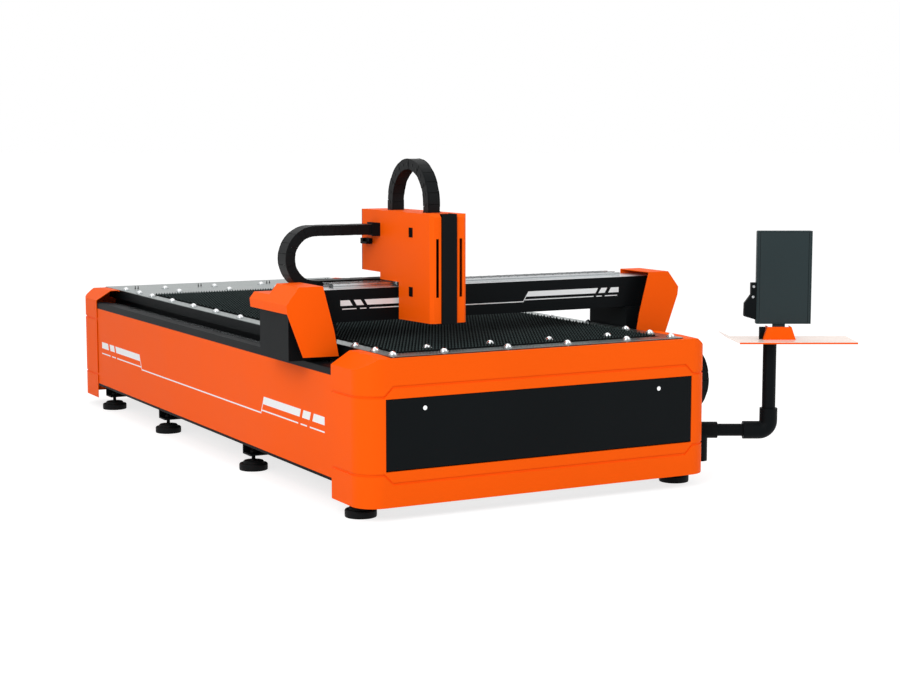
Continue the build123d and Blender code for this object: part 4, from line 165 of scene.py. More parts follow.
# Shared places of the machine, in metres
BED_LENGTH = 4.9
HALF_WIDTH = 1.105
PANEL_FACE = HALF_WIDTH - 0.007
TABLE_TOP = 0.866
CARRIAGE_X = -0.455
ARM_PIVOT = (1.18, 0.205 - BED_LENGTH / 2)
ARM_TURN = math.radians(-28.4)
ARM_REACH = 0.4
UP: Point = (0.0, 0.0, 1.0)
DOWN: Point = (0.0, 0.0, -1.0)
BOTH_SIDES = (-1, 1)


def from_front(distance: float) -> float:
    """Gives the Y of a place measured from the bed's front end.

    Args:
        distance: metres from the front end.

    Returns:
        The place's Y in the machine's frame.
    """
    return distance - BED_LENGTH / 2


def unique(items: Iterable[object]) -> list[object]:
    """Gives the items once each and in their order."""
    return list(dict.fromkeys(items))


class Axis(Enum):
    """Direction of a straight piece."""

    X = (1.0, 0.0, 0.0)
    Y = (0.0, 1.0, 0.0)
    Z = (0.0, 0.0, 1.0)

    @property
    def vector(self) -> Vector:
        """Unit vector of the direction."""
        return Vector(self.value)


class Slot(Enum):
    """Material slots of the record."""

    ORANGE = "orange_paint"
    BLACK = "black_paint"
    FRAME = "frame_paint"
    SLATE = "slate_paint"
    PLATE = "plate_steel"
    RAIL = "rail_steel"
    CHROME = "chrome"
    ALUMINIUM = "aluminium"
    MOTOR = "motor_black"
    CHAIN = "chain_plastic"
    FOOT = "foot_iron"
    COPPER = "copper"


class Dress(Enum):
    """Materials of small pieces that look different from their record slot."""

    WHITE_DECOR = "white_decor"
    DARK_GLASS = "dark_glass"
    PALE_SHELF = "pale_shelf"
    SLAT_STEEL = "slat_steel"
    SCREW_STEEL = "screw_steel"
    BLACK_OXIDE = "black_oxide"
    RUBBER = "rubber"
    FILTER_MESH = "filter_mesh"


# Materials

@dataclass(frozen=True)
class Finish:
    """Look of one material.

    Attributes:
        color: middle colour of the surface.
        rough: middle roughness.
        metal: share of metal.
        shine: strength of the reflection where it isn't metal.
        grain: fineness of the small grain.
        relief: strength of the grain as a bump.
        mottle: share by which the colour goes up and down.
        wear: strength of the drawn scratches.
        crest: height over which the slats' teeth get a painted highlight, or 0.
        crest_color: colour of that painted highlight.
    """

    color: Point
    rough: float
    metal: float = 0.0
    shine: float = 0.5
    grain: float = 60.0
    relief: float = 0.0
    mottle: float = 0.06
    wear: float = 0.0
    crest: float = 0.0
    crest_color: Point = (1.0, 1.0, 1.0)


FINISHES: dict[Slot | Dress, Finish] = {
    Slot.ORANGE: Finish((0.95, 0.108, 0.0018), 0.5, shine=0.05, grain=240.0, relief=0.06, mottle=0.03),
    Slot.BLACK: Finish((0.0032, 0.0046, 0.0054), 0.5, shine=0.06, grain=380.0, relief=0.12, mottle=0.25),
    Slot.FRAME: Finish((0.0036, 0.0042, 0.0047), 0.62, shine=0.07, grain=300.0, relief=0.15, mottle=0.3),
    Slot.SLATE: Finish((0.026, 0.040, 0.043), 0.42, shine=0.06, grain=350.0, relief=0.06, mottle=0.06),
    Slot.PLATE: Finish(
        (0.19, 0.225, 0.222), 0.27, metal=0.95, grain=14.0, relief=0.03, mottle=0.22, wear=0.3,
    ),
    Slot.RAIL: Finish((0.50, 0.52, 0.53), 0.24, metal=1.0, grain=30.0, relief=0.03, mottle=0.15),
    Slot.CHROME: Finish((0.86, 0.87, 0.88), 0.07, metal=1.0, grain=20.0, mottle=0.04),
    Slot.ALUMINIUM: Finish((0.62, 0.63, 0.64), 0.36, metal=0.85, grain=40.0, relief=0.03, mottle=0.1),
    Slot.MOTOR: Finish((0.005, 0.005, 0.006), 0.5, shine=0.15, grain=200.0, relief=0.1, mottle=0.2),
    Slot.CHAIN: Finish((0.0036, 0.0046, 0.0052), 0.45, shine=0.09, grain=150.0, relief=0.06, mottle=0.25),
    Slot.FOOT: Finish((0.0045, 0.005, 0.0055), 0.6, shine=0.1, grain=180.0, relief=0.2, mottle=0.35),
    Slot.COPPER: Finish((0.72, 0.33, 0.17), 0.22, metal=1.0, grain=40.0, mottle=0.1),
    Dress.WHITE_DECOR: Finish((0.86, 0.89, 0.90), 0.4, shine=0.2, mottle=0.02),
    Dress.DARK_GLASS: Finish((0.025, 0.038, 0.041), 0.3, shine=0.1, grain=30.0, mottle=0.04),
    # The shelf's orange sheet is painted near white, as a painted highlight of light flooding its top.
    Dress.PALE_SHELF: Finish((0.90, 0.76, 0.68), 0.3, shine=0.6, mottle=0.02),
    # Dark slat steel. The tips above the table top get a painted highlight that stands in for glints of light.
    Dress.SLAT_STEEL: Finish(
        (0.0034, 0.0052, 0.0056), 0.5, shine=0.1, grain=22.0, relief=0.05, mottle=0.5,
        crest=TABLE_TOP + 0.005, crest_color=(0.050, 0.070, 0.069),
    ),
    Dress.SCREW_STEEL: Finish((0.45, 0.46, 0.47), 0.3, metal=1.0, mottle=0.2),
    Dress.BLACK_OXIDE: Finish((0.008, 0.008, 0.009), 0.4, metal=0.5, shine=0.3, mottle=0.2),
    Dress.RUBBER: Finish((0.006, 0.006, 0.0065), 0.8, shine=0.15, relief=0.1, mottle=0.2),
    Dress.FILTER_MESH: Finish(
        (0.0025, 0.0025, 0.003), 0.95, shine=0.05, grain=900.0, relief=0.4, mottle=0.4,
    ),
}

# Patterns that the finishes share: fineness, octaves and stretch of the noises, and shares of their mixes
NO_STRETCH: Point = (1.0, 1.0, 1.0)
BROAD_GRAIN = 2.2
BROAD_DETAIL = 4.0
FINE_DETAIL = 6.0
NOISE_ROUGHNESS = 0.55
SCRATCH_GRAIN = 6.0
SCRATCH_DETAIL = 8.0
SCRATCH_STRETCH: Point = (1.0, 24.0, 1.0)
SCRATCH_POWER = 3.0
SCRATCH_SHADE = 0.45
SCRATCH_ROUGH = 0.25
EVEN_ROUGH, FINE_ROUGH, BROAD_ROUGH = 0.7, 0.35, 0.25
# Shares of the painted highlight on the slats' tips: an even part and a part that follows the fine grain.
CREST_HIGHLIGHT_SHARE, CREST_HIGHLIGHT_GRAIN = 0.5, 0.7
BUMP_DEPTH = 0.0006


class Value:
    """Output socket of a node that takes part in shader maths."""

    def __init__(self, graph: "Graph", socket: bpy.types.NodeSocket) -> None:
        """Keeps the socket and the graph that it belongs to."""
        self.graph = graph
        self.socket = socket

    def _math(self, kind: str, first: "Source", second: "Source") -> "Value":
        """Adds a Math node.

        Args:
            kind: the node's operation.
            first: its first input.
            second: its second input.

        Returns:
            The node's result.
        """
        return self.graph.out(self.graph.node("ShaderNodeMath", {"operation": kind}, {0: first, 1: second}))

    def __add__(self, other: "Source") -> "Value":
        """Gives value + other."""
        return self._math("ADD", self, other)

    def __radd__(self, other: "Source") -> "Value":
        """Gives other + value."""
        return self._math("ADD", other, self)

    def __sub__(self, other: "Source") -> "Value":
        """Gives value - other."""
        return self._math("SUBTRACT", self, other)

    def __rsub__(self, other: "Source") -> "Value":
        """Gives other - value."""
        return self._math("SUBTRACT", other, self)

    def __mul__(self, other: "Source") -> "Value":
        """Gives value * other."""
        return self._math("MULTIPLY", self, other)

    def __rmul__(self, other: "Source") -> "Value":
        """Gives other * value."""
        return self._math("MULTIPLY", other, self)

    def __pow__(self, other: "Source") -> "Value":
        """Gives value ** other."""
        return self._math("POWER", self, other)

    def __rpow__(self, other: "Source") -> "Value":
        """Gives other ** value."""
        return self._math("POWER", other, self)

    def above(self, limit: float) -> "Value":
        """Gives 1 where the value is over the limit, and 0 elsewhere."""
        return self._math("GREATER_THAN", self, limit)


Source = Value | float | Point


class Graph:
    """Node tree of a material or a world, with short ways to add and join nodes."""

    # Places of the colour sockets on a Mix node
    COLOR_A, COLOR_B, COLOR_RESULT = 6, 7, 2

    def __init__(self, owner: bpy.types.Material | bpy.types.World) -> None:
        """Empties the owner's node tree.

        Args:
            owner: the material or the world.
        """
        owner.use_nodes = True
        self.tree = owner.node_tree
        self.tree.nodes.clear()

    def node(
        self, kind: str, settings: dict[str, object] | None = None,
        sockets: dict[str | int, Source] | None = None,
    ) -> bpy.types.Node:
        """Adds a node.

        Args:
            kind: Blender's type name of the node.
            settings: the node's own properties, which are set first.
            sockets: the value or the link of each input.

        Returns:
            The new node.
        """
        node = self.tree.nodes.new(kind)
        for key, setting in (settings or {}).items():
            setattr(node, key, setting)
        for key, source in (sockets or {}).items():
            self.feed(node.inputs[key], source)
        return node

    def feed(self, target: bpy.types.NodeSocket, source: Source) -> None:
        """Joins an output to an input, or writes a constant there.

        Args:
            target: the input socket.
            source: an output, a number, a vector or a colour.
        """
        if isinstance(source, Value):
            self.tree.links.new(source.socket, target)
        elif target.type == "RGBA":
            target.default_value = (*source, 1.0)
        else:
            target.default_value = source

    def out(self, node: bpy.types.Node, name: str | int = 0) -> Value:
        """Gives the output of that name or number as a value."""
        return Value(self, node.outputs[name])

    def place(self) -> Value:
        """Gives the object coordinates."""
        return self.out(self.node("ShaderNodeTexCoord"), "Object")

    def height(self) -> Value:
        """Gives the height in metres."""
        return self.out(self.node("ShaderNodeSeparateXYZ", sockets={"Vector": self.place()}), "Z")

    def mix_color(self, factor: Value, first: Source, second: Source) -> Value:
        """Mixes two colours.

        Args:
            factor: share of the second colour.
            first: a value or a colour.
            second: a value or a colour.

        Returns:
            The mixed colour.
        """
        sockets = {"Factor": factor, self.COLOR_A: first, self.COLOR_B: second}
        return self.out(self.node("ShaderNodeMix", {"data_type": "RGBA"}, sockets), self.COLOR_RESULT)

    def noise(self, scale: float, detail: float, stretch: Point = NO_STRETCH) -> Value:
        """Adds a noise in object coordinates.

        Args:
            scale: fineness of the noise.
            detail: number of octaves.
            stretch: scale along each axis.

        Returns:
            The noise's value.
        """
        mapping = self.node("ShaderNodeMapping", sockets={"Vector": self.place(), "Scale": stretch})
        noise = self.node("ShaderNodeTexNoise", sockets={
            "Vector": self.out(mapping), "Scale": scale, "Detail": detail, "Roughness": NOISE_ROUGHNESS,
        })
        return self.out(noise)


def build_finish(name: str, finish: Finish) -> bpy.types.Material:
    """Makes the material of a finish.

    Args:
        name: the material's name.
        finish: its look.

    Returns:
        The material.
    """
    material = bpy.data.materials.new(name)
    graph = Graph(material)
    broad = graph.noise(BROAD_GRAIN, BROAD_DETAIL)
    fine = graph.noise(finish.grain, FINE_DETAIL)
    dark = tuple(part * (1.0 - finish.mottle) for part in finish.color)
    light = tuple(min(1.0, part * (1.0 + finish.mottle)) for part in finish.color)
    color = graph.mix_color(broad, dark, light)
    rough = finish.rough * (EVEN_ROUGH + FINE_ROUGH * fine + BROAD_ROUGH * broad)
    if finish.wear > 0.0:
        scratch = graph.noise(SCRATCH_GRAIN, SCRATCH_DETAIL, SCRATCH_STRETCH) ** SCRATCH_POWER
        shade = tuple(part * SCRATCH_SHADE for part in finish.color)
        color = graph.mix_color(scratch * finish.wear, color, shade)
        rough = rough + SCRATCH_ROUGH * scratch
    # Painted highlight: above this height the teeth are painted lighter, standing in for glints of light on them.
    if finish.crest > 0.0:
        high = graph.height().above(finish.crest)
        color = graph.mix_color(high * (CREST_HIGHLIGHT_SHARE + CREST_HIGHLIGHT_GRAIN * fine), color, finish.crest_color)
    sockets = {
        "Base Color": color, "Roughness": rough, "Metallic": finish.metal,
        "Specular IOR Level": finish.shine,
    }
    if finish.relief > 0.0:
        bump = {"Height": fine, "Strength": finish.relief, "Distance": BUMP_DEPTH}
        sockets["Normal"] = graph.out(graph.node("ShaderNodeBump", sockets=bump))
    shader = graph.node("ShaderNodeBsdfPrincipled", sockets=sockets)
    graph.node("ShaderNodeOutputMaterial", sockets={"Surface": graph.out(shader)})
    return material


@dataclass
class Palette:
    """All materials of the machine, each made once."""

    made: dict[Slot | Dress, bpy.types.Material] = field(default_factory=dict)

    def material(self, kind: Slot | Dress) -> bpy.types.Material:
        """Gives the material of a record slot or of a small piece.

        Args:
            kind: the slot or the small piece's dress.

        Returns:
            Its material.
        """
        if kind not in self.made:
            self.made[kind] = build_finish(kind.value, FINISHES[kind])
        return self.made[kind]


# Modelling

class Piece:
    """Mesh of one visible piece while it is being modelled."""

    # Least angle of an edge that is rounded, greatest one that is shaded smooth, and distance of doubles
    SHARP = 0.6
    SMOOTH = math.radians(32)
    MERGE = 1e-6

    def __init__(self, name: str) -> None:
        """Starts an empty mesh."""
        self.name = name
        self.mesh = bmesh.new()

    def _round(self, edges: list[bmesh.types.BMEdge], width: float, segments: int) -> None:
        """Rounds edges, if the width isn't 0.

        Args:
            edges: the edges.
            width: width of the rounding.
            segments: its steps.
        """
        if width > 0.0:
            bmesh.ops.bevel(
                self.mesh, geom=edges, offset=width, offset_type="OFFSET", segments=segments,
                profile=0.5, affect="EDGES", clamp_overlap=True, material=-1,
            )

    def _sharp(self, verts: list[bmesh.types.BMVert]) -> list[bmesh.types.BMEdge]:
        """Gives the sharp edges round some corners."""
        edges = unique(edge for vert in verts for edge in vert.link_edges)
        return [edge for edge in edges if edge.is_manifold and edge.calc_face_angle() > self.SHARP]

    def box(self, low: Point, high: Point, bevel: float = 0.0, segments: int = 1) -> None:
        """Adds a box.

        Args:
            low: its lowest corner.
            high: its highest corner.
            bevel: width of the edge rounding.
            segments: steps of the rounding.
        """
        start, stop = Vector(low), Vector(high)
        place = Matrix.Translation((start + stop) / 2) @ Matrix.Diagonal((*(stop - start), 1.0))
        made = bmesh.ops.create_cube(self.mesh, size=1.0, matrix=place)
        self._round(self._sharp(made["verts"]), bevel, segments)

    def rod(
        self, start: Point, along: Point, radius: float, length: float,
        sides: int = 24, bevel: float = 0.0, at: Matrix | None = None,
    ) -> None:
        """Adds a round bar.

        Args:
            start: centre of its first end.
            along: its direction.
            radius: its radius.
            length: its length.
            sides: number of sides.
            bevel: width of the edge rounding at its ends.
            at: movement of the bar to its place.
        """
        direction = Vector(along).normalized()
        turn = Vector(UP).rotation_difference(direction).to_matrix().to_4x4()
        middle = Matrix.Translation(Vector(start) + direction * (length / 2))
        made = bmesh.ops.create_cone(
            self.mesh, cap_ends=True, segments=sides, radius1=radius, radius2=radius, depth=length,
            matrix=(at or Matrix.Identity(4)) @ middle @ turn,
        )
        faces = unique(face for vert in made["verts"] for face in vert.link_faces)
        rims = unique(edge for face in faces if len(face.verts) > 4 for edge in face.edges)
        self._round(rims, bevel, 2)

    def prism(self, points: list[Point], reach: Point, bevel: float = 0.0, segments: int = 1) -> None:
        """Adds a straight piece whose section is a polygon.

        Args:
            points: the section's corners in space.
            reach: vector from the first section to the last.
            bevel: width of the edge rounding.
            segments: steps of the rounding.
        """
        lower = [self.mesh.verts.new(Vector(point)) for point in points]
        made = bmesh.ops.extrude_face_region(self.mesh, geom=[self.mesh.faces.new(lower)])
        upper = [item for item in made["geom"] if isinstance(item, bmesh.types.BMVert)]
        bmesh.ops.translate(self.mesh, verts=upper, vec=Vector(reach))
        faces = unique(face for vert in lower + upper for face in vert.link_faces)
        bmesh.ops.recalc_face_normals(self.mesh, faces=faces)
        self._round(self._sharp(lower + upper), bevel, segments)

    def slab(self, outline: list[Flat], low: float, high: float, at: Matrix, bevel: float = 0.0) -> None:
        """Adds a flat plate that stands across the Y of its own frame.

        Args:
            outline: its (x, z) corners in that frame.
            low: Y of one face.
            high: Y of the other face.
            at: the frame's place.
            bevel: width of the edge rounding.
        """
        points = [at @ Vector((x, low, z)) for x, z in outline]
        self.prism(points, at.to_3x3() @ Vector((0, high - low, 0)), bevel)

    def turned(self, profile: Iterable[Flat], sides: int) -> None:
        """Adds a piece turned about the Z axis, and closes its ends where they are open.

        Args:
            profile: (radius, z) points from the lower end to the upper one.
            sides: number of sides.
        """
        verts = [self.mesh.verts.new((radius, 0, z)) for radius, z in profile]
        edges = [self.mesh.edges.new(pair) for pair in zip(verts, verts[1:])]
        bmesh.ops.spin(
            self.mesh, geom=verts + edges, cent=(0, 0, 0), axis=UP, dvec=(0, 0, 0),
            angle=math.tau, steps=sides, use_merge=True, use_duplicate=False,
        )
        bmesh.ops.remove_doubles(self.mesh, verts=self.mesh.verts, dist=self.MERGE)
        rims = [edge for edge in self.mesh.edges if edge.is_boundary]
        if rims:
            bmesh.ops.holes_fill(self.mesh, edges=rims, sides=0)
        bmesh.ops.recalc_face_normals(self.mesh, faces=self.mesh.faces)

    def ball(self, centre: Point, radius: float, sides: int) -> None:
        """Adds a ball.

        Args:
            centre: its centre.
            radius: its radius.
            sides: sides round it.
        """
        bmesh.ops.create_uvsphere(
            self.mesh, u_segments=sides, v_segments=sides // 2, radius=radius,
            matrix=Matrix.Translation(Vector(centre)),
        )

    def _copy(self, geometry: list[object]) -> list[bmesh.types.BMVert]:
        """Copies a part of the mesh and gives the corners of the copy."""
        copy = bmesh.ops.duplicate(self.mesh, geom=geometry)
        return [item for item in copy["geom"] if isinstance(item, bmesh.types.BMVert)]

    def spread(self, places: Iterable[Flat]) -> None:
        """Puts a copy of the mesh at each place, and takes the mesh itself away.

        Args:
            places: the (x, y) moves of the copies.
        """
        verts = self.mesh.verts[:]
        geometry = verts + self.mesh.edges[:] + self.mesh.faces[:]
        for x, y in places:
            bmesh.ops.translate(self.mesh, verts=self._copy(geometry), vec=(x, y, 0))
        bmesh.ops.delete(self.mesh, geom=verts, context="VERTS")

    def _mirror(self) -> None:
        """Adds the same mesh on the machine's other side."""
        verts = self._copy(self.mesh.verts[:] + self.mesh.edges[:] + self.mesh.faces[:])
        bmesh.ops.scale(self.mesh, vec=(-1, 1, 1), verts=verts)
        bmesh.ops.recalc_face_normals(self.mesh, faces=self.mesh.faces)

    def finish(
        self, material: bpy.types.Material, smooth: bool = True, mirrored: bool = False,
        turn: Matrix | None = None,
    ) -> bpy.types.Object:
        """Turns the mesh into an object of the scene.

        Args:
            material: the piece's material.
            smooth: whether shallow edges are shaded smooth.
            mirrored: whether the same mesh is added on the other side.
            turn: movement of the whole mesh to its place.

        Returns:
            The object.
        """
        if turn is not None:
            bmesh.ops.transform(self.mesh, matrix=turn, verts=self.mesh.verts)
        if mirrored:
            self._mirror()
        data = bpy.data.meshes.new(self.name)
        self.mesh.to_mesh(data)
        self.mesh.free()
        data.materials.append(material)
        if smooth:
            data.shade_smooth()
            data.set_sharp_from_angle(angle=self.SMOOTH)
        obj = bpy.data.objects.new(self.name, data)
        bpy.context.scene.collection.objects.link(obj)
        log.info("piece %s: %d faces", self.name, len(data.polygons))
        return obj


@dataclass
class Assembly:
    """Common base of the machine's sub-assemblies."""

    palette: Palette

    def add(
        self, piece: Piece, slot: Slot, body: str, dress: Dress | None = None, **options: object,
    ) -> bpy.types.Object:
        """Finishes a piece and lets it ride on a body.

        Args:
            piece: the modelled piece.
            slot: its record slot.
            body: the body that it moves with.
            dress: its material, if it isn't the slot's own.
            options: passed on to the piece's finish.

        Returns:
            The object.
        """
        obj = piece.finish(self.palette.material(dress or slot), **options)
        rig.slot(obj, slot.value)
        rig.ride(obj, body)
        return obj


@dataclass
class CadDress(Assembly):
    """Materials and softened edges for the nodes that stay visible."""

    soft: float = 0.0012
    segments: int = 2
    sharp: float = math.radians(40)

    def build(self) -> None:
        """Dresses every node that is still shown."""
        slots = {entry["node"]: entry["material_slot"] for entry in frame["record"]["subparts"]}
        for name, obj in frame["nodes"].items():
            if obj.hide_render:
                continue
            obj.data.materials.clear()
            obj.data.materials.append(self.palette.material(Slot(slots[name])))
            bevel = obj.modifiers.new("edge", "BEVEL")
            bevel.width = self.soft
            bevel.segments = self.segments
            bevel.limit_method = "ANGLE"
            bevel.angle_limit = self.sharp
            bevel.harden_normals = False
            bevel.use_clamp_overlap = True


# Bed

@dataclass
class SlatTable(Assembly):
    """Serrated slats that carry the sheet."""

    pitch: float = 0.075
    first: float = 0.170
    count: int = 52
    thickness: float = 0.003
    tooth: float = 0.020
    depth: float = 0.018
    flat_share: float = 0.08

    def build(self) -> None:
        """Builds all slats as one piece."""
        low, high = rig.box("support_slats")
        teeth = round((high[0] - low[0]) / self.tooth)
        step = (high[0] - low[0]) / teeth
        root = high[2] - self.depth
        outline: list[Flat] = [(high[0], low[2]), (low[0], low[2])]
        for index in range(teeth):
            x = low[0] + step * index
            outline += [
                (x, root), (x + step * (0.5 - self.flat_share), high[2]),
                (x + step * (0.5 + self.flat_share), high[2]),
            ]
        outline.append((high[0], root))
        piece = Piece("support_slats_fine")
        piece.prism([(x, -self.thickness / 2, z) for x, z in outline], (0, self.thickness, 0))
        piece.spread((0, from_front(self.first + self.pitch * index)) for index in range(self.count))
        obj = self.add(piece, Slot.PLATE, "bed", Dress.SLAT_STEEL, smooth=False)
        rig.replaces(obj, "support_slats")


@dataclass(frozen=True)
class StripeSet:
    """Half of a mirrored stripe decoration, measured from its middle.

    Attributes:
        blocks: slanted blocks, each as outer top, outer foot, inner top and inner foot.
        block_low: height of the blocks' feet.
        block_high: height of the blocks' tops.
        segments: thin bars under the blocks, each as outer and inner end.
        segment_middle: height of the bars' middle.
        drop: start and end of the slanted bar that leads down to the long line.
        line_middle: height of the long line's middle.
        line_width: width of the bars and of the long line.
    """

    blocks: tuple[tuple[float, float, float, float], ...]
    block_low: float
    block_high: float
    segments: tuple[Flat, ...]
    segment_middle: float
    drop: tuple[Flat, Flat]
    line_middle: float
    line_width: float

    def outlines(self) -> list[list[Flat]]:
        """Gives the shapes of one half without the long line.

        Returns:
            The (s, z) corners of each shape.
        """
        half = self.line_width / 2
        shapes: list[list[Flat]] = []
        for outer_top, outer_low, inner_top, inner_low in self.blocks:
            shapes.append([
                (outer_low, self.block_low), (inner_low, self.block_low),
                (inner_top, self.block_high), (outer_top, self.block_high),
            ])
        shapes += [self.bar(outer, inner, self.segment_middle) for outer, inner in self.segments]
        (start, high), (stop, low) = self.drop
        shapes.append([(start + half, high), (start - half, high), (stop - half, low), (stop + half, low)])
        return shapes

    def line(self) -> list[Flat]:
        """Gives the shape of the long line, which runs through the middle."""
        reach = self.drop[1][0] + self.line_width / 2
        return self.bar(-reach, reach, self.line_middle)

    def bar(self, start: float, stop: float, middle: float) -> list[Flat]:
        """Gives the shape of a level bar.

        Args:
            start: its first end.
            stop: its last end.
            middle: height of its middle.

        Returns:
            Its (s, z) corners.
        """
        low, high = middle - self.line_width / 2, middle + self.line_width / 2
        return [(start, low), (stop, low), (stop, high), (start, high)]


SIDE_STRIPES = StripeSet(
    blocks=((1.97, 1.97, 1.83, 1.81), (1.79, 1.77, 1.69, 1.67), (1.655, 1.635, 1.12, 1.10)),
    block_low=0.455,
    block_high=0.500,
    segments=((1.97, 1.775), (1.735, 1.65), (1.615, 1.09)),
    segment_middle=0.417,
    drop=((1.105, 0.46), (1.075, 0.400)),
    line_middle=0.400,
    line_width=0.008,
)
BEAM_STRIPES = StripeSet(
    blocks=((0.912, 0.912, 0.857, 0.838), (0.831, 0.813, 0.789, 0.769), (0.766, 0.748, 0.286, 0.266)),
    block_low=1.074,
    block_high=1.104,
    segments=((0.902, 0.815), (0.793, 0.755), (0.735, 0.262)),
    segment_middle=1.056,
    drop=((0.270, 1.076), (0.252, 1.046)),
    line_middle=1.046,
    line_width=0.005,
)


@dataclass
class Stripes(Assembly):
    """Pale stripe decoration of the side panels and the beam."""

    proud: float = 0.0006
    sunk: float = 0.001
    beam_face: float = from_front(0.670)

    def build(self) -> None:
        """Builds the stripes of both sides and of the beam."""
        side = Piece("side_stripes")
        x = PANEL_FACE - self.sunk
        self._draw(side, SIDE_STRIPES, lambda s, z: (x, s, z), (self.sunk + self.proud, 0, 0))
        self.add(side, Slot.ORANGE, "bed", Dress.WHITE_DECOR, mirrored=True, smooth=False)
        beam = Piece("beam_stripes")
        y = self.beam_face - self.proud
        self._draw(beam, BEAM_STRIPES, lambda s, z: (s, y, z), (0, self.sunk + self.proud, 0))
        self.add(beam, Slot.BLACK, "gantry", Dress.WHITE_DECOR, smooth=False)

    def _draw(
        self, piece: Piece, stripes: StripeSet, place: Callable[[float, float], Point], reach: Point,
    ) -> None:
        """Adds both halves of a decoration and its long line.

        Args:
            piece: mesh that takes them.
            stripes: the decoration.
            place: gives the place in space of a point (s, z).
            reach: vector through the decoration's thickness.
        """
        for outline in stripes.outlines():
            for side in (1, -1):
                piece.prism([place(side * s, z) for s, z in outline], reach)
        piece.prism([place(s, z) for s, z in stripes.line()], reach)


@dataclass
class Feet(Assembly):
    """Levelling feet with threaded studs and lock nuts."""

    stations: tuple[float, ...] = (0.220, 1.720, 3.250, 4.430)
    across: float = 1.01
    sides: int = 48
    pad: tuple[Flat, ...] = (
        (0.0, 0.004), (0.084, 0.004), (0.086, 0.008), (0.086, 0.034), (0.082, 0.040), (0.063, 0.041),
        (0.062, 0.043), (0.062, 0.051), (0.057, 0.056), (0.018, 0.056), (0.016, 0.062), (0.0, 0.062),
    )
    sole: tuple[Flat, ...] = ((0.0, 0.0), (0.083, 0.0), (0.085, 0.002), (0.085, 0.004), (0.0, 0.004))
    stud_low: float = 0.060
    stud_radius: float = 0.012
    stud_sides: int = 20
    thread_pitch: float = 0.002
    thread_depth: float = 0.0012
    threads: int = 46
    nut_radius: float = 0.020
    nut_low: float = 0.102
    nut_height: float = 0.016
    bolts_across: Flat = (-0.04, 0.04)
    bolts_along: Flat = (-0.04, 0.02)
    bolt_level: float = 0.154
    bolt_radius: float = 0.007
    bolt_height: float = 0.008

    def build(self) -> None:
        """Builds the eight feet."""
        pads = Piece("levelling_feet_fine")
        soles = Piece("foot_soles")
        bolts = Piece("foot_bracket_bolts")
        pads.turned(self.pad, self.sides)
        self._stud(pads)
        self._nut(pads)
        soles.turned(self.sole, self.sides)
        self._bolts(bolts)
        for piece in (pads, soles, bolts):
            piece.spread((side * self.across, from_front(y)) for y in self.stations for side in BOTH_SIDES)
        obj = self.add(pads, Slot.FOOT, "bed")
        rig.replaces(obj, "levelling_feet")
        self.add(soles, Slot.FOOT, "bed", Dress.RUBBER)
        self.add(bolts, Slot.RAIL, "bed", Dress.BLACK_OXIDE)

    def _stud(self, piece: Piece) -> None:
        """Adds the threaded stud of a foot.

        Args:
            piece: the foot's mesh.
        """
        profile: list[Flat] = [(0.0, self.stud_low)]
        core, half = self.stud_radius - self.thread_depth, self.thread_pitch / 2
        for index in range(self.threads):
            z = self.stud_low + self.thread_pitch * index
            profile += [(core, z), (self.stud_radius, z + half)]
        top = self.stud_low + self.thread_pitch * self.threads
        profile += [(self.stud_radius - 0.002, top + 0.003), (0.0, top + 0.004)]
        piece.turned(profile, self.stud_sides)

    def _nut(self, piece: Piece) -> None:
        """Adds the lock nut of a foot's stud.

        Args:
            piece: the foot's mesh.
        """
        angles = [math.tau * index / 6 for index in range(6)]
        radius = self.nut_radius
        points = [(radius * math.cos(a), radius * math.sin(a), self.nut_low) for a in angles]
        piece.prism(points, (0, 0, self.nut_height), 0.0012, 2)

    def _bolts(self, piece: Piece) -> None:
        """Adds the four bolts over a foot.

        Args:
            piece: mesh that takes them.
        """
        for x in self.bolts_across:
            for y in self.bolts_along:
                piece.rod((x, y, self.bolt_level), UP, self.bolt_radius, self.bolt_height, 12, 0.001)


